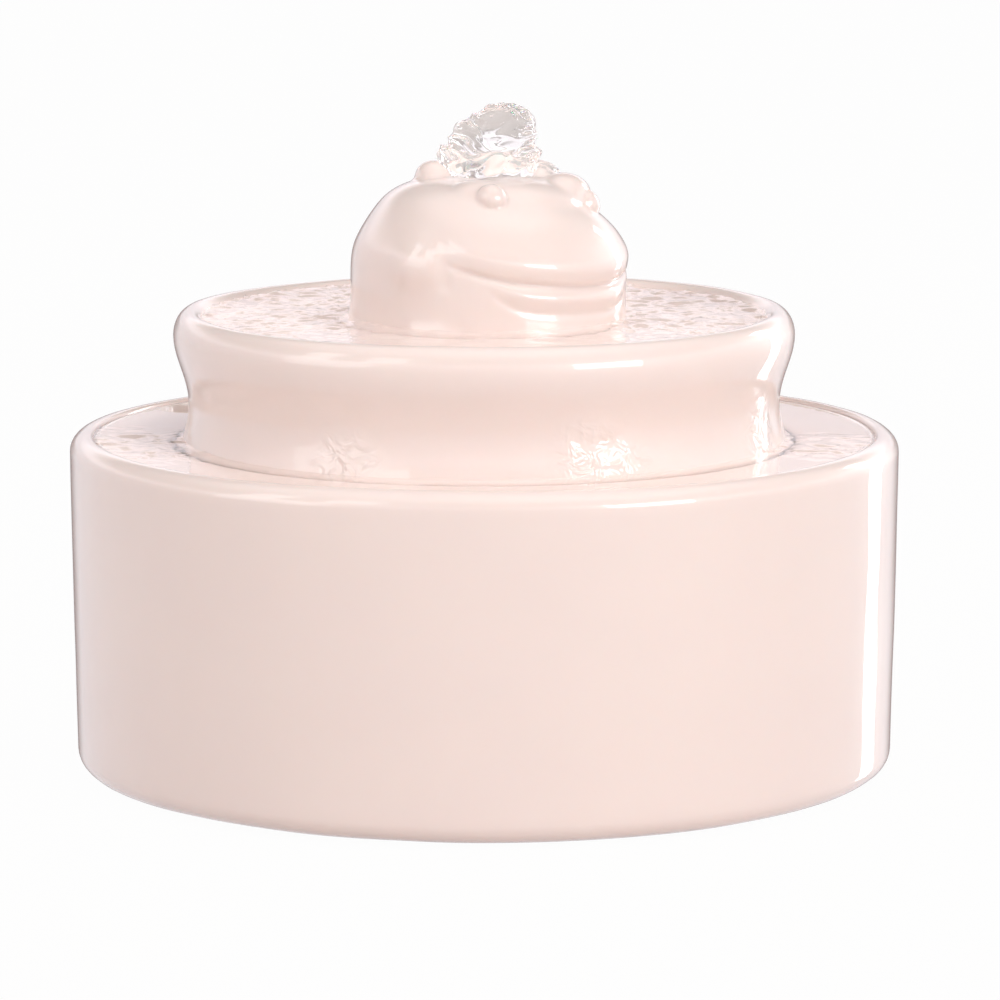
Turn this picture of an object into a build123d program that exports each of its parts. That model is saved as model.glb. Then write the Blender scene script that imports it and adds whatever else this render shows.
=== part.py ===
from build123d import *
import os
from math import cos, radians, sin, tan

# Two-tier ceramic pet water fountain. Millimetres, +Z up. The origin is on the standing surface, under
# the middle of the bowl, and the frog faces -Y. A magnet-drive pump in the bowl lifts water through a
# tube into the frog's head. It runs over the upper dish's lip into the lower dish, and drains back.

# Reservoir bowl
bowl_radius = 110.4
bowl_height = 90.3
bowl_wall = 7.0
bowl_floor = 5.2
foot_taper = 1.4            # how much narrower the wall is at the foot than at taper_top
taper_top = 58.0
bowl_corner = 5.0           # round under the wall
inner_corner = 10.0         # round between the wall and the floor, inside
foot_ring = 14.0            # width of the ring that the bowl would stand on without its pads
foot_recess = 2.0           # how deep the middle of the base is set in
foot_round = 0.8
rim_wall = 6.2
rim_flat = 0.4              # left between the rim's two rounds
rim_inner_round = 1.2
seat_depth = 9.8            # from the rim's crest down to the ledge that carries the lower dish
ledge_width = 3.0
ledge_thickness = 2.0
ledge_round = 0.4

# Foot pads
pad_radius = 9.0
pad_stand = 0.8             # how far a pad stands out below the foot ring
pad_inset = 5.0             # between a pad and the foot ring
pad_angles = (45, 135, 225, 315)

# Lower dish
dish_gap = 0.5              # between the dish's edge and the bowl
dish_step = 0.7             # how far the dish's edge lies below the rim's crest
dish_edge_round = 0.8
ring_width = 19.0           # of the drinking ring, from the dish's edge in to its brink
dish_slope = 16.0           # degrees, down towards the pedestal
dish_thickness = 5.5
brink_round = 2.0
trough_depth = 8.15         # depth of the channel that the upper tier stands in
trough_gap = 1.2            # between the upper tier's foot and the channel's outer wall
trough_wall = 3.9           # thickness of that wall at the channel's floor
trough_wall_lean = 1.0
trough_round = 0.8
belly_round = 4.0           # under the channel
under_round = 1.0
collar_height = 16.0        # above the channel's floor
collar_wall = 4.0
collar_round = 1.2
drain_radius = 7.0
drain_angle = 107.5         # degrees from +X, at the back left
drain_round = 0.8

# Upper tier
tier_height = 47.0          # from its foot to its crest
tier_foot_width = 9.3
tier_foot_height = 4.0
shoulder_rise = 3.0         # from the foot's inner edge up to the chamber's wall
tier_wall = 6.0
waist_inset = 3.8           # how far the waist lies inside the foot
waist_height = 22.4
lip_stand = 0.2             # how far the lip stands out past the foot
lip_drop = 6.5              # from the crest down to the lip's widest part
lip_roll = 4.4              # from the lip's outside in to the crest
crest_roll = 4.5            # from the crest in to the basin's wall
crest_drop = 5.0            # from the crest down to the basin's wall
basin_depth = 15.0          # from the crest to the upper dish's floor
basin_floor = 6.0
basin_round = 9.0
collar_gap = 1.0            # between the lower dish's collar and the upper tier's foot
locator_height = 3.0        # ring on the upper dish's floor that centres the frog
locator_width = 3.0
locator_gap = 0.7

# Frog spout
frog_radius = 36.7
frog_side = 25.0            # height of its upright side
frog_dome = 25.3            # height of its back above that
frog_roundness = 2.5
dome_shares = (0.45, 0.7, 0.86, 0.96)  # of the dome's height, where its curve is drawn through
frog_wall = 6.0
crown_angles = (-130.0, 180.0, 130.0)  # of the lobes round the back of the outlet, so water spills forward
crown_circle = 14.5
lobe_radius = 5.8
lobe_sink = 1.0             # how far the lobes' centres lie below the top of the head
outlet_margin = 0.8         # between the spout sleeve and the edge of the small basin round the outlet
outlet_depth = 1.3
eye_radius = 4.2
eye_angle = 39.0
eye_drop = 4.8              # below the top of the head
eye_stand = 0.9             # how far an eye's centre stands out of the dome
mouth_height = 25.3
mouth_reach = 57.0          # degrees each side of the face's middle
mouth_width = 1.5
mouth_depth = 1.0
chin_height = 21.4
chin_reach = 36.0
chin_radius = 3.6
chin_stand = 1.8
foot_lobe_radius = 8.5
foot_lobe_inset = 2.2       # from the frog's side in to a foot's centre
foot_lobe_height = 8.2
foot_lobe_angles = (-128.0, -62.0, 62.0, 128.0)

# Running water on the head
stem_gap = 0.5              # between the water's stem and the edge of the outlet's basin
plume_foot = 5.2            # height of the stem between the lobes
plume_widest = 12.4         # height of its widest part
plume_radius = 12.5
plume_height = 20.0

# Water in the two dishes
upper_water_drop = 1.5      # from the upper tier's crest down to the water
lower_water_drop = 0.3      # from the lower dish's edge down to the water
water_gap = 0.5             # between the water and a piece that lifts out of it

# Riser tube, its grommet and its sleeve in the head
tube_radius = 6.0
tube_bore = 4.5
tube_slip = 0.1             # running gap round the tube, in the grommet and in the sleeve
tube_end_gap = 0.3          # between the tube's end and the sleeve's stop
grommet_wall = 2.9
grommet_flange = 2.5
grommet_lip = 1.5
sleeve_wall = 2.4
sleeve_length = 14.0
sleeve_stop = 2.0
socket_wall = 4.0

# Rotor
shaft_radius = 1.2
shaft_slip = 0.06
hub_wall = 1.64
hub_stand = 0.5             # how far the hub stands out past the vanes
magnet_radius = 7.2
magnet_length = 17.3
impeller_radius = 9.6
impeller_disc = 1.2
impeller_gap = 0.9          # between the impeller's disc and the housing's front face
vane_count = 6
vane_length = 9.3           # along the axis
vane_thickness = 1.2
shoulder_radius = 4.6
shoulder_length = 3.8
end_flange = 1.0
washer_radius = 2.8
washer_thickness = 0.4
end_play = 0.3
bush_radius = 3.0
bush_length = 2.6
bush_holder = 1.6
bush_stand = 0.6            # how far the rear bush stands out of its holder

# Impeller cover with its outlet
chamber_gap = 1.9           # round the impeller
chamber_front_gap = 1.5     # in front of the vanes
cover_wall = 1.8
eye_opening = 6.6
spoke_width = 1.8
spoke_root = 0.5            # how far a spoke reaches into the cover's wall
spokes = 3
flange_width = 2.2
flange_thickness = 2.5
gasket_thickness = 0.8
gasket_width = 2.5
gasket_edge = 0.7
nozzle_boss_radius = 6.0
nozzle_boss_top = 19.0      # above the rotor's axis
spigot_length = 12.0
nozzle_bore = 3.2

# Stator
core_gap = 0.3              # resin between the well and the pole shoes
core_width = 30.0
core_thickness = 11.0
core_setback = 9.0          # from the housing's front face to the core
core_drop = 10.5            # below the rotor's axis
pole_slot = 3.0
pole_tip = 1.2              # between the pole shoes' bore and the window
window_width = 18.0
window_height = 4.0
bridge_height = 6.0
bobbin_wall = 0.8
coil_build = 3.0
coil_round = 2.0
coil_flange = 0.8

# Pump housing and its resin
cup_height = 6.0
pump_width = 44.0
pump_wall = 2.5
pump_front = 7.0            # Y of the housing's front face
pump_round = 3.0
flange_margin = 1.5         # between the impeller cover's flange and the housing's base
magnet_gap = 1.0
well_wall = 1.3
resin_above = 1.2           # over the coil
resin_behind = 1.7          # between the coil and the gland
potting_recess = 1.5

# Cable gland
gland_radius = 4.2
gland_length = 12.0
gland_depth = 7.0           # how much of it sits in the resin
gland_side = 3.3            # between the gland and the housing's wall
gland_above_axis = 19.0
cord_radius = 2.2
cord_hole_depth = 9.0

# Intake cover, sponge and flow slider
cap_inset = 1.0             # how far its sides lie inside the housing's
cap_height = 38.5
cap_wall = 1.6
cap_clear = 0.4             # below the impeller cover's flange
cap_gap = 0.5               # from the housing's front face
cap_length = 28.5
sponge_gap = 1.0            # between the sponge and the impeller cover
notch_gap = 0.8
slot_width = 2.4
slot_pitch = 4.0
slot_count = 4
slot_start = 2.4            # X of the first slot's middle
slot_height = 10.0
vent_height = 4.0
vent_rise = 0.8             # above the cap's floor
slider_gap = 0.3
slider_height = 14.0
slider_thickness = 1.2
slider_inset = 1.5          # from the rails' left end to the slider, when the intake is open
rail_wall = 2.0
rail_lip = 1.2
rail_length = 38.0
nub_width = 3.0
nub_height = 8.0
nub_stand = 2.5
nub_round = 0.8

# Suction cups
cup_radius = 6.5
cup_skirt = 1.2
cup_edge = 0.6
cup_hollow = 2.2            # height of the hollow under a cup
cup_neck = 2.6
cup_neck_height = 3.2
cup_shoulder = 3.6
cup_shoulder_height = 1.5
stud_radius = 2.2
stud_length = 1.8
cup_inset = 7.0             # from the housing's sides, front and back

# Levels and radii that follow from the sizes above
recess_z = pad_stand + foot_recess
floor_z = recess_z + bowl_floor
foot_radius = bowl_radius - foot_taper
recess_radius = foot_radius - foot_ring - bowl_corner
pad_circle = recess_radius - pad_inset - pad_radius
rim_outer_round = rim_wall - rim_flat - rim_inner_round
seat_radius = bowl_radius - rim_wall
ledge_z = bowl_height - seat_depth
bowl_bore = bowl_radius - bowl_wall
ledge_radius = seat_radius - ledge_width
dish_radius = seat_radius - dish_gap
dish_edge_z = bowl_height - dish_step
brink_radius = dish_radius - ring_width
brink_z = dish_edge_z - ring_width * tan(radians(dish_slope))
drain_circle = (dish_radius + brink_radius) / 2
trough_radius = brink_radius - trough_wall_lean
trough_z = brink_z - trough_depth
tier_foot_radius = trough_radius - trough_gap
foot_bore = tier_foot_radius - tier_foot_width
collar_outer = foot_bore - collar_gap
collar_inner = collar_outer - collar_wall
waist_radius = tier_foot_radius - waist_inset
lip_radius = tier_foot_radius + lip_stand
crest_radius = lip_radius - lip_roll
basin_radius = crest_radius - crest_roll
crest_z = trough_z + tier_height
lip_z = crest_z - lip_drop
basin_z = crest_z - basin_depth
ceiling_z = basin_z - basin_floor
head_z = basin_z + frog_side + frog_dome
outlet_z = head_z - outlet_depth
foot_circle = frog_radius - foot_lobe_inset
frog_bore = frog_radius - frog_wall
tube_top = outlet_z - sleeve_stop - tube_end_gap
grommet_radius = tube_radius + tube_slip + grommet_wall
sleeve_radius = tube_radius + tube_slip + sleeve_wall
outlet_radius = sleeve_radius + outlet_margin
chamber_radius = impeller_radius + chamber_gap
flange_radius = chamber_radius + cover_wall + flange_width
pump_z = floor_z + cup_height
rotor_height = flange_radius + flange_margin
axis_z = pump_z + rotor_height
nozzle_z = axis_z + nozzle_boss_top
hub_radius = shaft_radius + shaft_slip + hub_wall
disc_front = pump_front - impeller_disc - impeller_gap
vane_front = disc_front - vane_length
hub_front = vane_front - hub_stand
magnet_front = disc_front + impeller_disc + shoulder_length
magnet_back = magnet_front + magnet_length
chamber_front = vane_front - chamber_front_gap
cover_front = chamber_front - cover_wall
front_bush_y = hub_front - washer_thickness - end_play - bush_length
rear_bush_y = magnet_back + end_flange + washer_thickness + end_play
well_end = rear_bush_y + bush_length
well_radius = magnet_radius + magnet_gap
pole_bore = well_radius + well_wall + core_gap
window_z = axis_z + pole_bore + pole_tip
bridge_z = window_z + window_height
core_front = pump_front + core_setback
core_back = core_front + core_thickness
coil_top = bridge_z + bridge_height + bobbin_wall + coil_build
pump_top = coil_top + resin_above + pump_wall
gland_front = core_back + bobbin_wall + coil_build + resin_behind
resin_back = gland_front + gland_depth
pump_back = resin_back + potting_recess
gland_x = pump_width / 2 - pump_wall - gland_side - gland_radius
gland_z = axis_z + gland_above_axis
cap_width = pump_width - 2 * cap_inset
cap_back = pump_front - cap_gap
cap_front = cap_back - cap_length
cap_z = axis_z - flange_radius - cap_clear - cap_wall
cap_top = cap_z + cap_height
slider_left = slider_inset - rail_length / 2
slider_width = slot_count * slot_pitch
cup_x = pump_width / 2 - cup_inset
cup_ys = (pump_front + cup_inset, pump_back - cup_inset)


def turned(*edges):
    """Solid of revolution about Z from edges drawn as (radius, height)."""
    return revolve(Plane.XZ * make_face(edges), Axis.Z)


def turned_outline(points, rounds):
    """Solid of revolution from a closed (radius, height) outline, with a round at each corner."""
    return turned(FilletPolyline(*points, radius=rounds, close=True))


def quarter(centre, width, height, start):
    """Quarter of an ellipse, from start degrees anticlockwise."""
    return EllipticalCenterArc(centre, width, height, start_angle=start, arc_size=90)


def disc(radius, low, high, x=0.0, y=0.0):
    """Upright cylinder between two heights."""
    return Pos(x, y, (low + high) / 2) * Cylinder(radius, high - low)


def rod(radius, front, back, x=0.0, z=0.0):
    """Cylinder along Y between two Y values."""
    return Pos(x, (front + back) / 2, z) * Rot(90, 0, 0) * Cylinder(radius, back - front)


def block(x_span, y_span, z_span):
    """Box between two values on each axis."""
    spans = (x_span, y_span, z_span)
    centre = [(low + high) / 2 for low, high in spans]
    return Pos(*centre) * Box(*[high - low for low, high in spans])


def at_face_angle(angle, radius, height):
    """Point at an angle from the frog's facing direction, -Y."""
    return Pos(radius * sin(radians(angle)), -radius * cos(radians(angle)), height)


def face_ridge(radius, circle, height, reach):
    """Ring segment of round section, reach degrees each side of the frog's facing direction."""
    section = Plane.XZ * Pos(circle, height) * Circle(radius)
    return Rot(0, 0, -90 - reach) * revolve(section, Axis.Z, 2 * reach)


def dome_reach(share):
    """Radius of the dome at a share of its height, as a share of its full radius."""
    return (1 - share**frog_roundness) ** (1 / frog_roundness)


def dome(radius, base, side, height):
    """Upright wall with a squarish dome on it, as a turned solid."""
    shoulder = (radius, base + side)
    top = (0, base + side + height)
    curve = [(radius * dome_reach(share), base + side + height * share) for share in dome_shares]
    return turned(
        Line((0, base), (radius, base)),
        Line((radius, base), shoulder),
        Spline(shoulder, *curve, top, tangents=((0, 1), (-1, 0))),
        Line(top, (0, base)),
    )


def reservoir_bowl():
    ledge_base = ledge_z - ledge_thickness
    outline = [
        (0, recess_z),
        (recess_radius, recess_z),
        (recess_radius, pad_stand),
        (foot_radius, pad_stand),
        (bowl_radius, taper_top),
        (bowl_radius, bowl_height),
        (seat_radius, bowl_height),
        (seat_radius, ledge_z),
        (ledge_radius, ledge_z),
        (ledge_radius, ledge_base),
        (bowl_bore, ledge_base - (bowl_bore - ledge_radius)),
        (bowl_bore, floor_z),
        (0, floor_z),
    ]
    foot_rounds = [0, foot_round, foot_round, bowl_corner, 0]
    rim_rounds = [rim_outer_round, rim_inner_round, 0, ledge_round]
    return turned_outline(outline, foot_rounds + rim_rounds + [0, 0, inner_corner, 0])


def foot_pads():
    return [Rot(0, 0, angle) * disc(pad_radius, 0, recess_z, x=pad_circle) for angle in pad_angles]


def lower_dish():
    under_z = trough_z - dish_thickness
    outline = [
        (dish_radius, ledge_z),
        (dish_radius, dish_edge_z),
        (brink_radius, brink_z),
        (trough_radius, trough_z),
        (collar_outer, trough_z),
        (collar_outer, trough_z + collar_height),
        (collar_inner, trough_z + collar_height),
        (collar_inner, under_z),
        (trough_radius + trough_wall, under_z),
        (brink_radius + dish_thickness, ledge_z),
    ]
    top_rounds = [0, dish_edge_round, brink_round, trough_round, trough_round, collar_round, collar_round]
    dish = turned_outline(outline, top_rounds + [under_round, belly_round, under_round])
    drain = Rot(0, 0, drain_angle) * disc(drain_radius, under_z, bowl_height, x=drain_circle)
    drained = dish - drain
    mouth = (drained.edges() - dish.edges()).sort_by(Axis.Z)[-1]
    return fillet(mouth, drain_round)


def upper_tier():
    foot = (tier_foot_radius, trough_z)
    outer_foot = (tier_foot_radius, trough_z + tier_foot_height)
    waist = (waist_radius, trough_z + waist_height)
    lip = (lip_radius, lip_z)
    wall_z = crest_z - crest_drop
    floor_edge = (basin_radius - basin_round, basin_z)
    inner_top = (waist_radius - tier_wall, ceiling_z)
    chamber_foot = (tier_foot_radius - tier_wall, trough_z + tier_foot_height + shoulder_rise)
    shoulder = (foot_bore, trough_z + tier_foot_height)
    inner_foot = (foot_bore, trough_z)
    shell = turned(
        Line(inner_foot, foot),
        Line(foot, outer_foot),
        Spline(outer_foot, waist, lip, tangents=((0, 1), (0, 1)), tangent_scalars=(1.0, 1.0)),
        quarter((crest_radius, lip_z), lip_roll, lip_drop, 0),
        quarter((crest_radius, wall_z), crest_roll, crest_drop, 90),
        quarter((floor_edge[0], wall_z), basin_round, wall_z - basin_z, 270),
        Line(floor_edge, (grommet_radius, basin_z)),
        Line((grommet_radius, basin_z), (grommet_radius, ceiling_z)),
        Line((grommet_radius, ceiling_z), inner_top),
        Spline(inner_top, chamber_foot, tangents=((0, -1), (0, -1))),
        Line(chamber_foot, shoulder),
        Line(shoulder, inner_foot),
    )
    ring_outer = frog_bore - locator_gap
    ring = disc(ring_outer, basin_z, basin_z + locator_height)
    ring -= disc(ring_outer - locator_width, basin_z, basin_z + locator_height)
    return shell + ring


def tube_grommet():
    flange = grommet_radius + grommet_flange
    body = disc(grommet_radius, ceiling_z - grommet_lip, basin_z + grommet_lip)
    body += disc(flange, basin_z, basin_z + grommet_lip)
    body += disc(flange, ceiling_z - grommet_lip, ceiling_z)
    return body - disc(tube_radius + tube_slip, ceiling_z - grommet_lip, basin_z + grommet_lip)


def frog_spout():
    frog = dome(frog_radius, basin_z, frog_side, frog_dome)
    for angle in foot_lobe_angles:
        frog += at_face_angle(angle, foot_circle, basin_z + foot_lobe_height) * Sphere(foot_lobe_radius)
    frog -= disc(2 * frog_radius, basin_z - foot_lobe_radius, basin_z)
    frog += face_ridge(chin_radius, frog_radius + chin_stand - chin_radius, basin_z + chin_height, chin_reach)
    mouth_circle = frog_radius - mouth_depth + mouth_width
    frog -= face_ridge(mouth_width, mouth_circle, basin_z + mouth_height, mouth_reach)
    eye_circle = frog_radius * dome_reach(1 - eye_drop / frog_dome) + eye_stand
    for angle in (-eye_angle, eye_angle):
        frog += at_face_angle(angle, eye_circle, head_z - eye_drop) * Sphere(eye_radius)
    for angle in crown_angles:
        frog += at_face_angle(angle, crown_circle, head_z - lobe_sink) * Sphere(lobe_radius)
    socket_z = outlet_z - sleeve_length
    hollow = dome(frog_bore, basin_z, frog_side, frog_dome - frog_wall)
    hollow -= disc(sleeve_radius + socket_wall, socket_z, head_z)
    frog -= hollow
    frog -= disc(outlet_radius, outlet_z, head_z + lobe_radius)
    return frog - disc(sleeve_radius, socket_z, outlet_z)


def spout_sleeve():
    low = outlet_z - sleeve_length
    sleeve = disc(sleeve_radius, low, outlet_z) - disc(tube_bore, low, outlet_z)
    return sleeve - disc(tube_radius + tube_slip, low, outlet_z - sleeve_stop)


def water_plume():
    stem = outlet_radius - stem_gap
    neck = outlet_z + plume_foot
    bulge = (plume_radius, outlet_z + plume_widest)
    top = (0, outlet_z + plume_height)
    return turned(
        Line((0, outlet_z), (stem, outlet_z)),
        Line((stem, outlet_z), (stem, neck)),
        Spline((stem, neck), bulge, top, tangents=((1, 1), (-1, 0))),
        Line(top, (0, outlet_z)),
    )


def pool(inner, outer, low, level, dish):
    """Ring of standing water, shaped underneath by the dish that holds it."""
    return disc(outer, low, level) - disc(inner, low, level) - dish


def upper_pool(tier):
    level = crest_z - upper_water_drop
    water = pool(frog_radius + water_gap, crest_radius, basin_z, level, tier)
    for angle in foot_lobe_angles:
        hole = Cylinder(foot_lobe_radius + water_gap, 2 * basin_depth)
        water -= at_face_angle(angle, foot_circle, basin_z) * hole
    return water


def lower_pool(dish):
    level = dish_edge_z - lower_water_drop
    inner = max(tier_foot_radius, lip_radius) + water_gap
    water = pool(inner, dish_radius - dish_edge_round, ledge_z, level, dish)
    hole = disc(drain_radius + drain_round, ledge_z, level, x=drain_circle)
    return water - Rot(0, 0, drain_angle) * hole


def riser_tube():
    return disc(tube_radius, nozzle_z, tube_top) - disc(tube_bore, nozzle_z, tube_top)


def pump_housing():
    half = pump_width / 2
    inner = half - pump_wall
    body = block((-half, half), (pump_front, pump_back), (pump_z, pump_top))
    body = fillet(body.edges().filter_by(Axis.Y), pump_round)
    cavity = block(
        (-inner, inner), (pump_front + pump_wall, pump_back), (pump_z + pump_wall, pump_top - pump_wall)
    )
    well_outer = rod(well_radius + well_wall, pump_front, well_end + well_wall, z=axis_z)
    body = body - cavity + well_outer - rod(well_radius, pump_front, well_end, z=axis_z)
    holder = rod(bush_radius + bush_holder, rear_bush_y + bush_stand, well_end, z=axis_z)
    body += holder - rod(bush_radius, rear_bush_y, well_end, z=axis_z)
    for x in (-cup_x, cup_x):
        for y in cup_ys:
            body -= disc(stud_radius, pump_z, pump_z + stud_length, x=x, y=y)
    return body


def stator_core():
    half = core_width / 2
    core = block((-half, half), (core_front, core_back), (axis_z - core_drop, bridge_z + bridge_height))
    core -= block((-window_width / 2, window_width / 2), (core_front, core_back), (window_z, bridge_z))
    core -= rod(pole_bore, core_front, core_back, z=axis_z)
    slot = (-pole_slot / 2, pole_slot / 2)
    return core - block(slot, (core_front, core_back), (axis_z - core_drop, window_z))


def wrap(inset, build, half_length):
    """Block round the core's bridge: from the bridge's faces plus inset, build thick."""
    outer = inset + build
    return block(
        (-half_length, half_length),
        (core_front - outer, core_back + outer),
        (bridge_z - outer, bridge_z + bridge_height + outer),
    )


def coil_bobbin():
    half = window_width / 2
    bobbin = wrap(0, bobbin_wall, half)
    for side in (-1, 1):
        flange = wrap(0, bobbin_wall + coil_build, coil_flange / 2)
        bobbin += Pos(side * (half - coil_flange / 2), 0, 0) * flange
    return bobbin - wrap(0, 0, half)


def stator_coil():
    half = window_width / 2 - coil_flange
    coil = wrap(bobbin_wall, coil_build, half)
    coil = fillet(coil.edges().filter_by(Axis.X), coil_round)
    return coil - wrap(0, bobbin_wall, half)


def gland_body():
    return rod(gland_radius, gland_front, gland_front + gland_length, x=gland_x, z=gland_z)


def potting(core, bobbin, coil):
    half = pump_width / 2 - pump_wall
    resin = block(
        (-half, half),
        (pump_front + pump_wall, resin_back),
        (pump_z + pump_wall, pump_top - pump_wall),
    )
    resin -= rod(well_radius + well_wall, pump_front, well_end + well_wall, z=axis_z)
    return resin - core - bobbin - coil - gland_body()


def cable_gland():
    end = gland_front + gland_length
    return gland_body() - rod(cord_radius, end - cord_hole_depth, end, x=gland_x, z=gland_z)


def rotor_magnet():
    magnet = rod(magnet_radius, magnet_front, magnet_back, z=axis_z)
    return magnet - rod(hub_radius, magnet_front, magnet_back, z=axis_z)


def impeller():
    hub_back = magnet_back + end_flange
    wheel = rod(hub_radius, hub_front, hub_back, z=axis_z)
    wheel += rod(impeller_radius, disc_front, disc_front + impeller_disc, z=axis_z)
    wheel += rod(shoulder_radius, disc_front + impeller_disc, magnet_front, z=axis_z)
    wheel += rod(shoulder_radius, magnet_back, hub_back, z=axis_z)
    vane = block((0, impeller_radius), (vane_front, disc_front), (-vane_thickness / 2, vane_thickness / 2))
    for index in range(vane_count):
        wheel += Pos(0, 0, axis_z) * Rot(0, 360 * index / vane_count, 0) * vane
    return wheel - rod(shaft_radius + shaft_slip, hub_front, hub_back, z=axis_z)


def washer(front):
    ring = rod(washer_radius, front, front + washer_thickness, z=axis_z)
    return ring - rod(shaft_radius + shaft_slip, front, front + washer_thickness, z=axis_z)


def thrust_washers():
    return [washer(hub_front - washer_thickness), washer(magnet_back + end_flange)]


def bush(front):
    body = rod(bush_radius, front, front + bush_length, z=axis_z)
    return body - rod(shaft_radius, front, front + bush_length, z=axis_z)


def rotor_shaft():
    return rod(shaft_radius, front_bush_y, well_end, z=axis_z)


def impeller_cover():
    cover = rod(chamber_radius + cover_wall, cover_front, pump_front, z=axis_z)
    cover += rod(flange_radius, pump_front - flange_thickness, pump_front, z=axis_z)
    cover += disc(nozzle_boss_radius, axis_z, nozzle_z)
    cover += disc(tube_bore, nozzle_z, nozzle_z + spigot_length)
    cover -= rod(chamber_radius, chamber_front, pump_front, z=axis_z)
    cover -= rod(eye_opening, cover_front, chamber_front, z=axis_z)
    cover -= disc(nozzle_bore, axis_z, nozzle_z + spigot_length)
    holder_back = front_bush_y + bush_length
    spider = rod(bush_radius + bush_holder, cover_front, holder_back, z=axis_z)
    reach = (0, eye_opening + spoke_root)
    spoke = block(reach, (cover_front, chamber_front), (-spoke_width / 2, spoke_width / 2))
    for index in range(spokes):
        spider += Pos(0, 0, axis_z) * Rot(0, 360 * index / spokes, 0) * spoke
    cover += spider - rod(bush_radius, cover_front, holder_back, z=axis_z)
    return cover - gasket_blank()


def gasket_blank():
    """Flat ring in a recess in the back of the impeller cover's flange."""
    outer = flange_radius - gasket_edge
    front = pump_front - gasket_thickness
    ring = rod(outer, front, pump_front, z=axis_z)
    return ring - rod(outer - gasket_width, front, pump_front, z=axis_z)


def intake_cover():
    half = cap_width / 2
    inner = half - cap_wall
    cap = block((-half, half), (cap_front, cap_back), (cap_z, cap_top))
    cap = fillet(cap.edges().filter_by(Axis.Y), pump_round)
    cap -= block((-inner, inner), (cap_front + cap_wall, cap_back), (cap_z + cap_wall, cap_top - cap_wall))
    notch = nozzle_boss_radius + notch_gap
    cap -= block((-notch, notch), (-notch, cap_back), (axis_z, cap_top))
    wall = (cap_front, cap_front + cap_wall)
    for index in range(slot_count):
        x = slot_start + slot_pitch * index
        span = (x - slot_width / 2, x + slot_width / 2)
        cap -= block(span, wall, (axis_z - slot_height / 2, axis_z + slot_height / 2))
    vent_z = cap_z + cap_wall + vent_rise
    for index in range(-slot_count, slot_count):
        x = slot_pitch * (index + 0.5)
        span = (x - slot_width / 2, x + slot_width / 2)
        cap -= block(span, wall, (vent_z, vent_z + vent_height))
    for side in (-1, 1):
        cap += slider_rail(side)
    return cap


def slider_rail(side):
    """One of the two lipped rails that hold the flow slider, above or below the rotor's axis."""
    edge = slider_height / 2 + slider_gap
    lip_back = cap_front - slider_thickness - 2 * slider_gap
    half = rail_length / 2
    foot = block((-half, half), (lip_back - rail_lip, cap_front), (edge, edge + rail_wall))
    lip = block((-half, half), (lip_back - rail_lip, lip_back), (edge - slider_gap - rail_lip, edge))
    return Pos(0, 0, axis_z) * Rot(0, 90 - 90 * side, 0) * (foot + lip)


def intake_sponge():
    inner = cap_width / 2 - cap_wall
    return block(
        (-inner, inner),
        (cap_front + cap_wall, cover_front - sponge_gap),
        (cap_z + cap_wall, cap_top - cap_wall),
    )


def flow_slider():
    back = cap_front - slider_gap
    front = back - slider_thickness
    right = slider_left + slider_width
    middle = (slider_left + right) / 2
    half = slider_height / 2
    plate = block((slider_left, right), (front, back), (axis_z - half, axis_z + half))
    nub = block(
        (middle - nub_width / 2, middle + nub_width / 2),
        (front - nub_stand, front),
        (axis_z - nub_height / 2, axis_z + nub_height / 2),
    )
    return plate + fillet(nub.edges().filter_by(Axis.Z), nub_round)


def suction_cup():
    shoulder_z = pump_z - cup_shoulder_height
    outline = [
        (0, floor_z + cup_hollow),
        (cup_radius - cup_skirt, floor_z),
        (cup_radius, floor_z),
        (cup_radius, floor_z + cup_edge),
        (cup_neck, floor_z + cup_neck_height),
        (cup_neck, shoulder_z),
        (cup_shoulder, shoulder_z),
        (cup_shoulder, pump_z),
        (stud_radius, pump_z),
        (stud_radius, pump_z + stud_length),
        (0, pump_z + stud_length),
    ]
    return turned_outline(outline, 0)


def suction_cups():
    cup = suction_cup()
    return [Pos(x, y, 0) * cup for x in (-cup_x, cup_x) for y in cup_ys]


core = stator_core()
bobbin = coil_bobbin()
coil = stator_coil()
dish = lower_dish()
tier = upper_tier()
nodes = {
    "reservoir_bowl": reservoir_bowl(),
    "foot_pads": foot_pads(),
    "lower_dish": dish,
    "lower_pool": lower_pool(dish),
    "upper_tier": tier,
    "upper_pool": upper_pool(tier),
    "tube_grommet": tube_grommet(),
    "frog_spout": frog_spout(),
    "spout_sleeve": spout_sleeve(),
    "water_plume": water_plume(),
    "riser_tube": riser_tube(),
    "pump_housing": pump_housing(),
    "stator_core": core,
    "coil_bobbin": bobbin,
    "stator_coil": coil,
    "potting": potting(core, bobbin, coil),
    "cable_gland": cable_gland(),
    "rotor_magnet": rotor_magnet(),
    "impeller": impeller(),
    "thrust_washers": thrust_washers(),
    "rotor_shaft": rotor_shaft(),
    "front_bush": bush(front_bush_y),
    "rear_bush": bush(rear_bush_y),
    "impeller_cover": impeller_cover(),
    "cover_gasket": gasket_blank(),
    "intake_cover": intake_cover(),
    "intake_sponge": intake_sponge(),
    "flow_slider": flow_slider(),
    "suction_cups": suction_cups(),
}

os.makedirs("parts", exist_ok=True)
for name, shape in nodes.items():
    solid = Compound(children=shape) if isinstance(shape, list) else shape
    export_step(solid, f"parts/{name}.step")
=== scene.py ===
import bmesh
import bpy
from math import atan2, cos, degrees, exp, pi, radians, sin
from mathutils import Matrix, Vector, noise
from mathutils.geometry import interpolate_bezier


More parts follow.
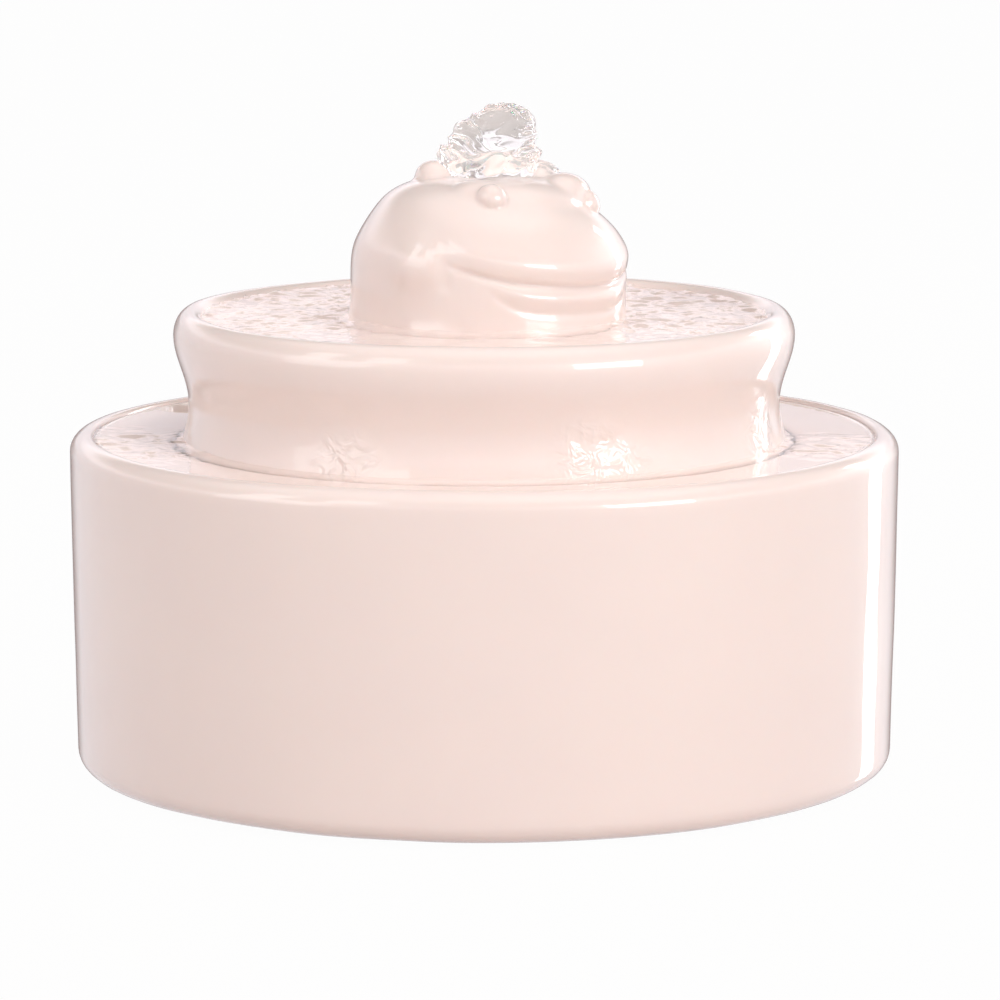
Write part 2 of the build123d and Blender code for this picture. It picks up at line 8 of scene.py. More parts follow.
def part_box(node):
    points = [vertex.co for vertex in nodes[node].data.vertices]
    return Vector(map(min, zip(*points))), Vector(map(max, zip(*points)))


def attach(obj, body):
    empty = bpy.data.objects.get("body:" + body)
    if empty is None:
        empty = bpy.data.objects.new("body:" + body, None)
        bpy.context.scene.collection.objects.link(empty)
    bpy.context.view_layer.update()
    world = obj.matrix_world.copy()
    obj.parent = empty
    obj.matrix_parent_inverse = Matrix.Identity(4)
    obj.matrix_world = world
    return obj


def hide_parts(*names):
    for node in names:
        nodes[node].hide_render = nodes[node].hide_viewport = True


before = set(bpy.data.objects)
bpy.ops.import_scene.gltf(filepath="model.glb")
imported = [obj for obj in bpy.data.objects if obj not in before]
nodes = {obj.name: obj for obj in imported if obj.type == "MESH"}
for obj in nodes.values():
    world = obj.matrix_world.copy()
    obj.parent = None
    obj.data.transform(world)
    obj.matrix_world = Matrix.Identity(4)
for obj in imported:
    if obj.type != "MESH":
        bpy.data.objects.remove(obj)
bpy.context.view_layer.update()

# Reservoir bowl: slip-cast stoneware, dipped in glossy ivory glaze. The rim is sponged round, a ledge inside
# it carries the lower dish, and the middle of its base is set in for the pads.
MM = 0.001
TURN_STEPS = 256
ROUND_STEPS = 8
LONGEST_EDGE = 2.5 * MM


def turned(name, outline, closed=False, steps=TURN_STEPS, grain=LONGEST_EDGE):
    """Object turned about Z from an outline of (radius, height, round), with no edge longer than its grain."""
    bm = bmesh.new()
    corners = [bm.verts.new((radius, 0, height)) for radius, height, _ in outline]
    for start, end in zip(corners, corners[1:]):
        bm.edges.new((start, end))
    if closed:
        bm.edges.new((corners[-1], corners[0]))
    for corner, (_, _, size) in zip(corners, outline):
        if size:
            bmesh.ops.bevel(bm, geom=[corner], offset=size, offset_type="OFFSET", affect="VERTICES",
                            segments=ROUND_STEPS, profile=0.5, material=-1)
    for edge in [e for e in bm.edges if e.calc_length() > grain]:
        cuts = int(edge.calc_length() / grain)
        bmesh.ops.subdivide_edges(bm, edges=[edge], cuts=cuts)
    bmesh.ops.spin(bm, geom=bm.verts[:] + bm.edges[:], cent=(0, 0, 0), axis=(0, 0, 1), angle=2 * pi,
                   steps=steps, use_merge=True)
    return finished(name, bm)


def finished(name, bm):
    """Smooth-shaded object at the origin from a bmesh, with its doubles merged and its faces outwards."""
    bmesh.ops.remove_doubles(bm, verts=bm.verts[:], dist=1e-6)
    bmesh.ops.recalc_face_normals(bm, faces=bm.faces[:])
    mesh = bpy.data.meshes.new(name)
    bm.to_mesh(mesh)
    bm.free()
    mesh.shade_smooth()
    piece = bpy.data.objects.new(name, mesh)
    bpy.context.scene.collection.objects.link(piece)
    return piece


def reshape(piece, moved):
    """Moves each point of a piece to where moved(spot, normal) puts it."""
    points = [(point.co.copy(), point.normal.copy()) for point in piece.data.vertices]
    places = [axis for spot, normal in points for axis in moved(spot, normal)]
    piece.data.vertices.foreach_set("co", places)
    piece.data.update()


HAND_SEED = 1
SWAY_SCALE, SWAY = 11, 0.45 * MM
RIPPLE_SCALE, RIPPLE = 48, 0.12 * MM
noise.seed_set(HAND_SEED)


def hand_finish(piece):
    """Moves a ceramic piece's surface a little, as drying, firing and sponging leave it."""
    def moved(spot, normal):
        sway = noise.noise_vector(spot * SWAY_SCALE) * SWAY
        return spot + sway + noise.noise_vector(spot * RIPPLE_SCALE) * RIPPLE

    reshape(piece, moved)


def curve(start, start_pull, end_pull, end, steps=12):
    """Points (radius, height, 0) of a Bezier curve, without its last one."""
    points = [Vector(p) for p in (start, start_pull, end_pull, end)]
    return [(p.x, p.y, 0) for p in interpolate_bezier(*points, steps)[:-1]]


def group(name, inputs, outputs):
    """Empty shader group, with its input and output nodes. Inputs and outputs are (name, type, default)."""
    tree = bpy.data.node_groups.new(name, "ShaderNodeTree")
    for label, kind, default in inputs:
        tree.interface.new_socket(label, in_out="INPUT", socket_type=kind).default_value = default
    for label, kind in outputs:
        tree.interface.new_socket(label, in_out="OUTPUT", socket_type=kind)
    return tree, tree.nodes.new("NodeGroupInput"), tree.nodes.new("NodeGroupOutput")


def node(tree, kind, settings=(), **inputs):
    """New shader node of a kind, with settings as attributes and inputs by name, as values or as sockets to
    link. _0, _1 and so on are inputs by number, where a name isn't unique."""
    made = tree.nodes.new("ShaderNode" + kind)
    for key, value in dict(settings).items():
        setattr(made, key, value)
    for label, value in inputs.items():
        socket = made.inputs[int(label[1:])] if label[1:].isdigit() else made.inputs[label.replace("_", " ")]
        if isinstance(value, bpy.types.NodeSocket):
            tree.links.new(value, socket)
        else:
            socket.default_value = value
    return made


def material(name):
    """New node material: its tree, its Principled shader and its Object coordinates."""
    made = bpy.data.materials.new(name)
    made.use_nodes = True
    tree = made.node_tree
    place = node(tree, "TexCoord").outputs["Object"]
    return made, tree, tree.nodes["Principled BSDF"], place


def dress(piece, made):
    piece.data.materials.clear()
    piece.data.materials.append(made)


def colour(red, green, blue):
    """Linear colour from the sRGB values, 0 to 255, that a painter would mix to."""
    def linear(value):
        share = value / 255
        return share / 12.92 if share <= 0.04045 else ((share + 0.055) / 1.055) ** 2.4

    return (linear(red), linear(green), linear(blue), 1.0)


# The glaze's clouding, its pinholes and the faint orange peel that gloss shows.
glaze_tree, glaze_in, glaze_out = group(
    "glaze_clouding",
    [("Place", "NodeSocketVector", (0, 0, 0)), ("Thick", "NodeSocketColor", (1, 1, 1, 1)),
     ("Thin", "NodeSocketColor", (1, 1, 1, 1))],
    [("Colour", "NodeSocketColor"), ("Roughness", "NodeSocketFloat"), ("Height", "NodeSocketFloat")])
glaze_clouds = node(glaze_tree, "TexNoise", Vector=glaze_in.outputs["Place"], Scale=34.0, Detail=4.0)
glaze_peel = node(glaze_tree, "TexNoise", Vector=glaze_in.outputs["Place"], Scale=420.0, Detail=1.0)
glaze_pits = node(glaze_tree, "TexVoronoi", Vector=glaze_in.outputs["Place"], Scale=260.0,
                  Randomness=1.0)
glaze_pit_mask = node(glaze_tree, "MapRange", {"interpolation_type": "SMOOTHSTEP"},
                      Value=glaze_pits.outputs["Distance"], From_Min=0.02, From_Max=0.09, To_Min=0.0,
                      To_Max=1.0)
glaze_rare = node(glaze_tree, "Math", {"operation": "GREATER_THAN"}, _1=0.93)
glaze_pit_pick = node(glaze_tree, "SeparateColor", Color=glaze_pits.outputs["Color"])
glaze_tree.links.new(glaze_pit_pick.outputs["Red"], glaze_rare.inputs[0])
glaze_pit_depth = node(glaze_tree, "Math", {"operation": "SUBTRACT"}, _0=1.0,
                       _1=glaze_pit_mask.outputs["Result"])
glaze_pit = node(glaze_tree, "Math", {"operation": "MULTIPLY"}, _0=glaze_pit_depth.outputs[0],
                 _1=glaze_rare.outputs[0])
glaze_mix = node(glaze_tree, "Mix", {"data_type": "RGBA"}, Factor=glaze_clouds.outputs["Fac"],
                 _6=glaze_in.outputs["Thick"], _7=glaze_in.outputs["Thin"])
glaze_rough = node(glaze_tree, "MapRange", Value=glaze_clouds.outputs["Fac"], From_Min=0.3,
                   From_Max=0.7, To_Min=0.3, To_Max=0.42)
glaze_height = node(glaze_tree, "Math", {"operation": "MULTIPLY_ADD"}, _0=glaze_pit.outputs[0],
                    _1=-1.0, _2=glaze_peel.outputs["Fac"])
glaze_tree.links.new(glaze_mix.outputs[2], glaze_out.inputs["Colour"])
glaze_tree.links.new(glaze_rough.outputs["Result"], glaze_out.inputs["Roughness"])
glaze_tree.links.new(glaze_height.outputs[0], glaze_out.inputs["Height"])


SPLASH_CORE, SPLASH_EDGE = 4 * MM, 13 * MM
SPLASH_RELIEF = 1.1 * MM
PEEL_RELIEF = 0.1 * MM


def glaze(name, thick, thin, splashes=()):
    """Glossy ivory glaze: a cloudy body under a clear coat. Splashes are places where water clings to it."""
    made, tree, shader, place = material(name)
    clouds = node(tree, "Group", {"node_tree": glaze_tree}, Place=place, Thick=thick, Thin=thin)
    bump = node(tree, "Bump", Strength=0.12, Distance=PEEL_RELIEF, Height=clouds.outputs["Height"])
    tree.links.new(clouds.outputs["Colour"], shader.inputs["Base Color"])
    tree.links.new(clouds.outputs["Roughness"], shader.inputs["Roughness"])
    if splashes:
        runs = node(tree, "TexNoise", Vector=place, Scale=170.0, Detail=2.0, Distortion=1.2)
        film = 0.0
        for splash in splashes:
            away = node(tree, "VectorMath", {"operation": "DISTANCE"}, _0=place, _1=splash)
            patch = node(tree, "MapRange", {"interpolation_type": "SMOOTHSTEP"},
                         Value=away.outputs["Value"], From_Min=SPLASH_CORE, From_Max=SPLASH_EDGE,
                         To_Min=1.0, To_Max=0.0)
            film = node(tree, "Math", {"operation": "MAXIMUM"}, _0=patch.outputs["Result"],
                        _1=film).outputs[0]
        relief = node(tree, "Math", {"operation": "MULTIPLY"}, _0=film, _1=runs.outputs["Fac"])
        bump = node(tree, "Bump", Strength=1.0, Distance=SPLASH_RELIEF, Height=relief.outputs[0],
                    Normal=bump.outputs["Normal"])
        tree.links.new(bump.outputs["Normal"], shader.inputs["Coat Normal"])
    tree.links.new(bump.outputs["Normal"], shader.inputs["Normal"])
    shader.inputs["Coat Weight"].default_value = 1.0
    shader.inputs["Coat Roughness"].default_value = 0.03
    shader.inputs["Coat IOR"].default_value = 1.5
    shader.inputs["Subsurface Weight"].default_value = 0.12
    shader.inputs["Subsurface Radius"].default_value = (1.0, 0.55, 0.4)
    shader.inputs["Subsurface Scale"].default_value = 3 * MM
    return made


ivory = colour(246, 229, 221)
rose_ivory = colour(241, 224, 218)
bowl_glaze = glaze("bowl_glaze", ivory, rose_ivory)

foot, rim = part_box("reservoir_bowl")
bowl_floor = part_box("suction_cups")[0].z
dish_low, dish_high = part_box("lower_dish")
RIM_WALL = 6.2 * MM
BOWL_WALL = 7.0 * MM
SEAT_DEPTH = 9.8 * MM
LEDGE_WIDTH = 3.0 * MM
FOOT_TAPER = 1.4 * MM
TAPER_TOP = 58 * MM
RECESS_INSET = 20.4 * MM
RECESS_DEPTH = 2.0 * MM
seat_radius = rim.x - RIM_WALL
ledge_z = rim.z - SEAT_DEPTH
ledge_under = ledge_z - 2.0 * MM
bowl_bore = rim.x - BOWL_WALL
ledge_radius = seat_radius - LEDGE_WIDTH
recess_radius = rim.x - RECESS_INSET
recess_z = foot.z + RECESS_DEPTH
bowl = turned("bowl", [
    (0, recess_z, 0),
    (recess_radius, recess_z, 0.8 * MM),
    (recess_radius, foot.z, 0.8 * MM),
    (rim.x - FOOT_TAPER, foot.z, 5.0 * MM),
    (rim.x, TAPER_TOP, 20 * MM),
    (rim.x, rim.z, 4.6 * MM),
    (seat_radius, rim.z, 1.2 * MM),
    (seat_radius, ledge_z, 0.3 * MM),
    (ledge_radius, ledge_z, 0.4 * MM),
    (ledge_radius, ledge_under, 0.4 * MM),
    (bowl_bore, ledge_under - (bowl_bore - ledge_radius), 1.0 * MM),
    (bowl_bore, bowl_floor, 10 * MM),
    (0, bowl_floor, 0),
])
hand_finish(bowl)
dress(bowl, bowl_glaze)
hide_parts("reservoir_bowl")
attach(bowl, "reservoir")

# Foot pads: four round pads of grey rubber, glued into the recess under the bowl, just proud of its foot
# ring. Their lower edges are rounded.
mould_tree, mould_in, mould_out = group(
    "mould_grain",
    [("Place", "NodeSocketVector", (0, 0, 0)), ("Tone", "NodeSocketColor", (1, 1, 1, 1)),
     ("Bloom", "NodeSocketColor", (1, 1, 1, 1)), ("Grain", "NodeSocketFloat", 900.0),
     ("Smooth", "NodeSocketFloat", 0.4), ("Rough", "NodeSocketFloat", 0.6)],
    [("Colour", "NodeSocketColor"), ("Roughness", "NodeSocketFloat"), ("Height", "NodeSocketFloat")])
mould_flow = node(mould_tree, "TexNoise", Vector=mould_in.outputs["Place"], Scale=70.0, Detail=5.0)
mould_spark = node(mould_tree, "TexNoise", Vector=mould_in.outputs["Place"],
                   Scale=mould_in.outputs["Grain"], Detail=2.0)
mould_share = node(mould_tree, "Math", {"operation": "MULTIPLY"}, _0=mould_flow.outputs["Fac"],
                   _1=mould_spark.outputs["Fac"])
mould_spread = node(mould_tree, "MapRange", Value=mould_share.outputs[0], From_Min=0.12,
                    From_Max=0.4)
mould_mix = node(mould_tree, "Mix", {"data_type": "RGBA"}, Factor=mould_spread.outputs["Result"],
                 _6=mould_in.outputs["Tone"], _7=mould_in.outputs["Bloom"])
mould_rough = node(mould_tree, "MapRange", Value=mould_flow.outputs["Fac"], From_Min=0.3,
                   From_Max=0.7, To_Min=mould_in.outputs["Smooth"], To_Max=mould_in.outputs["Rough"])
mould_tree.links.new(mould_mix.outputs[2], mould_out.inputs["Colour"])
mould_tree.links.new(mould_rough.outputs["Result"], mould_out.inputs["Roughness"])
mould_tree.links.new(mould_spark.outputs["Fac"], mould_out.inputs["Height"])


def moulded(name, tone, bloom, grain, smooth, rough, relief):
    """Moulded plastic or rubber: its tone, the tone of its bloom, its grain's scale, its roughness from
    smooth to rough, and the relief of its grain in metres."""
    made, tree, shader, place = material(name)
    skin = node(tree, "Group", {"node_tree": mould_tree}, Place=place, Tone=tone, Bloom=bloom,
                Grain=grain, Smooth=smooth, Rough=rough)
    bump = node(tree, "Bump", Strength=0.5, Distance=relief, Height=skin.outputs["Height"])
    tree.links.new(skin.outputs["Colour"], shader.inputs["Base Color"])
    tree.links.new(skin.outputs["Roughness"], shader.inputs["Roughness"])
    tree.links.new(bump.outputs["Normal"], shader.inputs["Normal"])
    return made


def paint(name, made):
    """Gives a CAD node its finished material."""
    for slot in nodes[name].material_slots:
        slot.material = made


PAD_RADIUS = 9.0 * MM
pad_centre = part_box("foot_pads")[1].x - PAD_RADIUS
pad_place = Vector((pad_centre, pad_centre, 0))
pad = turned("pad", [(0, 0, 0), (PAD_RADIUS, 0, 0.7 * MM), (PAD_RADIUS, recess_z, 0.3 * MM), (0, recess_z, 0)],
             steps=64)
pads_bm = bmesh.new()
for quarter_turn in range(4):
    pad.data.transform(Matrix.Rotation(pi / 2, 4, "Z"))
    around = pad.data.copy()
    around.transform(Matrix.Translation(Matrix.Rotation(pi / 2 * quarter_turn, 3, "Z") @ pad_place))
    pads_bm.from_mesh(around)
bpy.data.objects.remove(pad)
pads = finished("rubber_pads", pads_bm)
dress(pads, moulded("pad_rubber", colour(112, 109, 105), colour(146, 142, 137), 1400.0, 0.62, 0.8, 0.00004))
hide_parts("foot_pads")
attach(pads, "reservoir")

# Pump housing: injection-moulded ABS in satin black, with the rotor's well closed off from the stator behind
# it. Its back is open for the resin.
paint("pump_housing", moulded("pump_plastic", colour(30, 30, 32), colour(46, 46, 49), 1700.0, 0.38, 0.52,
                              0.00003))

# Stator core: 22 punched laminations of silicon steel, riveted into a U whose pole shoes hug the well.
# Its cut edges have rusted a little, as they do before the resin covers them.
core_steel, core_tree, core_shader, core_place = material("core_steel")
core_stack = node(core_tree, "TexWave", {"bands_direction": "Y"}, Vector=core_place, Scale=318.0,
                  Distortion=0.4, Detail=1.0)
core_rust = node(core_tree, "TexNoise", Vector=core_place, Scale=190.0, Detail=6.0)
core_rust_mask = node(core_tree, "MapRange", Value=core_rust.outputs["Fac"], From_Min=0.56,
                      From_Max=0.68)
core_tone = node(core_tree, "Mix", {"data_type": "RGBA"}, Factor=core_stack.outputs["Fac"],
                 _6=colour(96, 98, 102), _7=colour(164, 166, 170))
core_skin = node(core_tree, "Mix", {"data_type": "RGBA"}, Factor=core_rust_mask.outputs["Result"],
                 _6=core_tone.outputs[2], _7=colour(118, 78, 52))
core_bump = node(core_tree, "Bump", Strength=0.6, Distance=0.00008, Height=core_stack.outputs["Fac"])
core_metal = node(core_tree, "Math", {"operation": "SUBTRACT"}, _0=1.0,
                  _1=core_rust_mask.outputs["Result"])
core_tree.links.new(core_skin.outputs[2], core_shader.inputs["Base Color"])
core_tree.links.new(core_metal.outputs[0], core_shader.inputs["Metallic"])
core_tree.links.new(core_bump.outputs["Normal"], core_shader.inputs["Normal"])
core_shader.inputs["Roughness"].default_value = 0.42
paint("stator_core", core_steel)

# Coil: a bobbin of natural nylon on the core's bridge, wound with enamelled copper wire in five layers.
# The enamel is clear amber and glossy.
paint("coil_bobbin", moulded("bobbin_plastic", colour(214, 204, 176), colour(228, 221, 200), 1200.0, 0.4, 0.55,
                             0.00003))
COIL_LAYERS = 5
COIL_BUILD = 3.0 * MM
WIRE_FILL = 0.48
CORNER_ROUND = 0.4 * MM
CORNER_GROWTH = 0.3 * MM
coil_low, coil_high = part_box("stator_coil")
flange_stand = coil_low.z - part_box("coil_bobbin")[0].z
wire_pitch = (flange_stand + COIL_BUILD) / COIL_LAYERS
coil_turns = int((coil_high.x - coil_low.x) / wire_pitch)
winding = bpy.data.curves.new("winding", "CURVE")
winding.dimensions = "3D"
winding.bevel_depth = wire_pitch * WIRE_FILL
winding.bevel_resolution = 1
winding.resolution_u = 3
for layer in range(COIL_LAYERS):
    inset = wire_pitch * (COIL_LAYERS - layer - 0.5)
    low_y, high_y = coil_low.y + inset, coil_high.y - inset
    low_z, high_z = coil_low.z + inset, coil_high.z - inset
    pull = CORNER_ROUND + CORNER_GROWTH * layer
    loop = ((low_y + pull, low_z), (high_y - pull, low_z), (high_y, low_z + pull), (high_y, high_z - pull),
            (high_y - pull, high_z), (low_y + pull, high_z), (low_y, high_z - pull), (low_y, low_z + pull))
    spline = winding.splines.new("NURBS")
    spline.points.add(coil_turns * len(loop) - 1)
    for step, point in enumerate(spline.points):
        turn = step / len(loop)
        along = turn if layer % 2 == 0 else coil_turns - turn
        y, z = loop[step % len(loop)]
        point.co = (coil_low.x + wire_pitch * (along + 0.1), y, z, 1)
    spline.order_u = 3
    spline.use_endpoint_u = True
coil_curve = bpy.data.objects.new("coil_curve", winding)
bpy.context.scene.collection.objects.link(coil_curve)
bpy.context.view_layer.update()
coil_mesh = bpy.data.meshes.new_from_object(coil_curve.evaluated_get(bpy.context.evaluated_depsgraph_get()))
bpy.data.objects.remove(coil_curve)
coil_bm = bmesh.new()
coil_bm.from_mesh(coil_mesh)
coil = finished("copper_winding", coil_bm)
copper, copper_tree, copper_shader, copper_place = material("coil_copper")
copper_age = node(copper_tree, "TexNoise", Vector=copper_place, Scale=260.0, Detail=3.0)
copper_tone = node(copper_tree, "Mix", {"data_type": "RGBA"}, Factor=copper_age.outputs["Fac"],
                   _6=colour(150, 78, 40), _7=colour(205, 120, 66))
copper_rough = node(copper_tree, "MapRange", Value=copper_age.outputs["Fac"], To_Min=0.3,
                    To_Max=0.4)
copper_tree.links.new(copper_tone.outputs[2], copper_shader.inputs["Base Color"])
copper_tree.links.new(copper_rough.outputs["Result"], copper_shader.inputs["Roughness"])
copper_shader.inputs["Metallic"].default_value = 1.0
copper_shader.inputs["Coat Weight"].default_value = 0.8
dress(coil, copper)
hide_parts("stator_coil")
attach(coil, "reservoir")

# Potting: black epoxy poured round the core and the coil. It sets glossy, with a slight wave and a few
# pinholes where air came out.
resin, resin_tree, resin_shader, resin_place = material("resin")
resin_wave = node(resin_tree, "TexNoise", Vector=resin_place, Scale=90.0, Detail=1.0)
resin_pits = node(resin_tree, "TexVoronoi", Vector=resin_place, Scale=420.0)
resin_pit = node(resin_tree, "MapRange", Value=resin_pits.outputs["Distance"], From_Min=0.05,
                 From_Max=0.14, To_Min=-0.6, To_Max=0.0)
resin_height = node(resin_tree, "Math", {"operation": "ADD"}, _0=resin_wave.outputs["Fac"],
                    _1=resin_pit.outputs["Result"])
resin_bump = node(resin_tree, "Bump", Strength=0.5, Distance=0.0003, Height=resin_height.outputs[0])
resin_tone = node(resin_tree, "Mix", {"data_type": "RGBA"}, Factor=resin_wave.outputs["Fac"],
                  _6=colour(20, 20, 22), _7=colour(36, 35, 36))
resin_tree.links.new(resin_tone.outputs[2], resin_shader.inputs["Base Color"])
resin_tree.links.new(resin_bump.outputs["Normal"], resin_shader.inputs["Normal"])
resin_shader.inputs["Roughness"].default_value = 0.16
paint("potting", resin)

# Cable gland: a moulded rubber plug that seals the cord's way into the resin.
# It is matt black and slightly dusty from its release powder.
paint("cable_gland", moulded("gland_rubber", colour(28, 28, 28), colour(58, 57, 55), 1500.0, 0.7, 0.86,
                             0.00005))

# Rotor: a ground ferrite ring on the hub of a six-vane wheel, with a polished ceramic shaft through it.
# Rubber bushes hold the shaft's ends, and a white washer takes the thrust at each end of the hub.
paint("rotor_magnet", moulded("ferrite", colour(58, 58, 61), colour(84, 84, 88), 2600.0, 0.42, 0.6,
                              0.00002))
paint("impeller", moulded("impeller_plastic", colour(216, 212, 200), colour(230, 228, 220), 1300.0, 0.3, 0.42,
                          0.00002))
paint("thrust_washers", moulded("washer_plastic", colour(228, 228, 224), colour(240, 240, 238), 1800.0, 0.3,
                                0.42, 0.00001))
paint("rotor_shaft", moulded("shaft_ceramic", colour(236, 232, 222), colour(246, 244, 238), 2400.0, 0.12, 0.22,
                             0.00001))
bush_rubber = moulded("bush_rubber", colour(34, 34, 34), colour(52, 52, 51), 1600.0, 0.6, 0.75, 0.00003)
for bush in ("front_bush", "rear_bush"):
    paint(bush, bush_rubber)

# Impeller cover: moulded volute with the spoked eye and the outlet spigot, pressed onto a rubber gasket.
# It is the same black plastic as the housing, a shade lighter where the mould was polished.
paint("impeller_cover", moulded("cover_plastic", colour(38, 38, 41), colour(54, 54, 58), 1900.0, 0.3, 0.44,
                                0.00003))
paint("cover_gasket", bush_rubber)

# Intake cover: the slotted cap that keeps fur out of the pump. It is satin black and a little limed.
# The slider on its front is polished blue plastic, so that a finger finds it under water.
paint("intake_cover", moulded("cap_plastic", colour(31, 31, 33), colour(60, 60, 60), 1500.0, 0.4, 0.58,
                              0.00004))
paint("flow_slider", moulded("slider_plastic", colour(64, 124, 172), colour(88, 146, 190), 1500.0, 0.3, 0.4,
                             0.00002))

# Intake sponge: a die-cut block of open-cell foam that fills the cap. Its cut faces show the torn cells.
# It is squeezed in, so its edges are soft.
def settle(piece):
    """Applies a piece's modifiers to its mesh."""
    bpy.context.view_layer.update()
    shaped = bpy.data.meshes.new_from_object(piece.evaluated_get(bpy.context.evaluated_depsgraph_get()))
    piece.modifiers.clear()
    piece.data = shaped
    shaped.shade_smooth()


def fused(name, bm, grain, strokes):
    """Object with one skin round all the solids in a bmesh, sponged smooth."""
    lump = finished(name, bm)
    skin = lump.modifiers.new("skin", "REMESH")
    skin.mode = "VOXEL"
    skin.voxel_size = grain
    sponge = lump.modifiers.new("sponge", "SMOOTH")
    sponge.factor = 0.5
    sponge.iterations = strokes
    settle(lump)
    return lump


SPONGE_SHRINK = 0.6
SPONGE_ROUND = 1.2 * MM
sponge_low, sponge_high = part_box("intake_sponge")
sponge_size = sponge_high - sponge_low - Vector((SPONGE_SHRINK,) * 3) * MM
sponge_middle = (sponge_low + sponge_high) / 2
sponge_bm = bmesh.new()
bmesh.ops.create_cube(sponge_bm, size=1,
                      matrix=Matrix.Translation(sponge_middle) @ Matrix.Diagonal((*sponge_size, 1)))
bmesh.ops.bevel(sponge_bm, geom=sponge_bm.edges[:], offset=SPONGE_ROUND, offset_type="OFFSET",
                affect="EDGES", segments=3, profile=0.5, material=-1)
sponge = fused("foam_block", sponge_bm, grain=0.55 * MM, strokes=1)
CELLS, PORES, TEARS = 700, 900, 1500
CELL_RIM = 0.25
CELL_DEPTH = 0.75 * MM


def torn(spot, normal):
    """Opens the foam's cells in its cut faces. A cell's rim stands out no further than CELL_RIM lets it."""
    cells = noise.noise(spot * CELLS) + 0.6 * noise.noise(spot * TEARS + noise.cell_vector(spot * PORES))
    return spot + normal * min(cells, CELL_RIM) * CELL_DEPTH


reshape(sponge, torn)
foam = moulded("sponge_foam", colour(40, 41, 42), colour(72, 74, 74), 1100.0, 0.8, 0.95, 0.0002)
dress(sponge, foam)
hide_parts("intake_sponge")
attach(sponge, "intake")

# Suction cups: four soft rubber cups with studs that push into the pump's base and hold it to the bowl.
# They are slightly glossy.
paint("suction_cups", moulded("cup_rubber", colour(66, 66, 68), colour(92, 92, 94), 1200.0, 0.34, 0.5,
                              0.00002))

# Lower dish: a cast ring that drops onto the bowl's ledge. It slopes down to a channel that the upper
# tier stands in, with a tall collar inside it and one hole that drains the water and passes the cord.
RING_WIDTH = 19.0 * MM
DISH_STEP = 0.7 * MM
TROUGH_DEPTH = 8.15 * MM
TROUGH_LEAN = 1.0 * MM
COLLAR_GAP = 1.0 * MM
COLLAR_WALL = 4.0 * MM
LIP_STAND = 0.2 * MM
FOOT_WIDTH = 9.3 * MM
tier_low, tier_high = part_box("upper_tier")
tier_foot = tier_high.x - LIP_STAND
foot_bore = tier_foot - FOOT_WIDTH
dish_edge_z = rim.z - DISH_STEP
brink_radius = dish_high.x - RING_WIDTH
trough_z = tier_low.z
brink_z = trough_z + TROUGH_DEPTH
trough_radius = brink_radius - TROUGH_LEAN
collar_outer = foot_bore - COLLAR_GAP
collar_inner = collar_outer - COLLAR_WALL
dish = turned("dish_ring", [
    (dish_high.x, ledge_z, 0.3 * MM),
    (dish_high.x, dish_edge_z, 0.8 * MM),
    (brink_radius, brink_z, 2.0 * MM),
    (trough_radius - 0.8 * MM, trough_z + 5.0 * MM, 0.4 * MM),
    (trough_radius, trough_z, 0.8 * MM),
    (collar_outer, trough_z, 0.8 * MM),
    (collar_outer, dish_high.z, 1.2 * MM),
    (collar_inner, dish_high.z, 1.2 * MM),
    (collar_inner, dish_low.z, 1.0 * MM),
    (trough_radius + 3.9 * MM, dish_low.z, 4.0 * MM),
    (brink_radius + 5.5 * MM, ledge_z, 1.0 * MM),
], closed=True)
DRAIN_RADIUS = 7.0 * MM
DRAIN_ANGLE = radians(107.5)
DRAIN_FLARE = 1.2 * MM
drain_circle = (dish_high.x + brink_radius) / 2
drain = Vector((drain_circle * cos(DRAIN_ANGLE), drain_circle * sin(DRAIN_ANGLE), 0))


def cut(piece, tool):
    """Takes the tool's shape out of a piece."""
    modifier = piece.modifiers.new("cut", "BOOLEAN")
    modifier.object = tool
    modifier.operation = "DIFFERENCE"
    modifier.solver = "EXACT"
    settle(piece)
    bpy.data.objects.remove(tool)


CLEAR = 20 * MM


def drill(piece, radius, centre, low, high, flare):
    """Drills an upright hole with a flared mouth into a piece. The bit reaches clear of its top."""
    bit = turned("bit", [(0, low, 0), (radius, low, 0), (radius, high - flare, 0),
                         (radius + 0.3 * flare, high - 0.3 * flare, 0), (radius + flare, high, 0),
                         (radius + flare, high + CLEAR, 0), (0, high + CLEAR, 0)], steps=96)
    bit.data.transform(Matrix.Translation(centre))
    cut(piece, bit)


drain_top = dish_edge_z - (dish_high.x - drain_circle) * (dish_edge_z - brink_z) / RING_WIDTH
drill(dish, DRAIN_RADIUS, drain, dish_low.z - CLEAR / 2, drain_top + DRAIN_FLARE / 2, DRAIN_FLARE)
hand_finish(dish)
dish_glaze = glaze("dish_glaze", ivory, rose_ivory)
dress(dish, dish_glaze)
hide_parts("lower_dish")
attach(dish, "lower_dish")

# Upper tier: pedestal and drinking dish thrown as one waisted piece. Water runs over its rolled lip.
# A hole in the dish's floor passes the riser tube, and a low ring round it centres the frog.
LIP_DROP, LIP_ROLL = 6.5 * MM, 4.4 * MM
CREST_DROP, CREST_ROLL = 5.0 * MM, 4.5 * MM
BASIN_ROUND = 9.0 * MM
TIER_WALL = 6.0 * MM
WAIST_INSET, WAIST_HEIGHT = 3.8 * MM, 22.4 * MM
GROMMET_RADIUS = 9.0 * MM
crest_z = tier_high.z
lip_z = crest_z - LIP_DROP
crest_radius = tier_high.x - LIP_ROLL
basin_radius = crest_radius - CREST_ROLL
basin_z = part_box("frog_spout")[0].z
wall_z = crest_z - CREST_DROP
floor_radius = basin_radius - BASIN_ROUND
ceiling_z = basin_z - TIER_WALL
waist_radius = tier_foot - WAIST_INSET
waist_z = trough_z + WAIST_HEIGHT
KAPPA = 0.5523


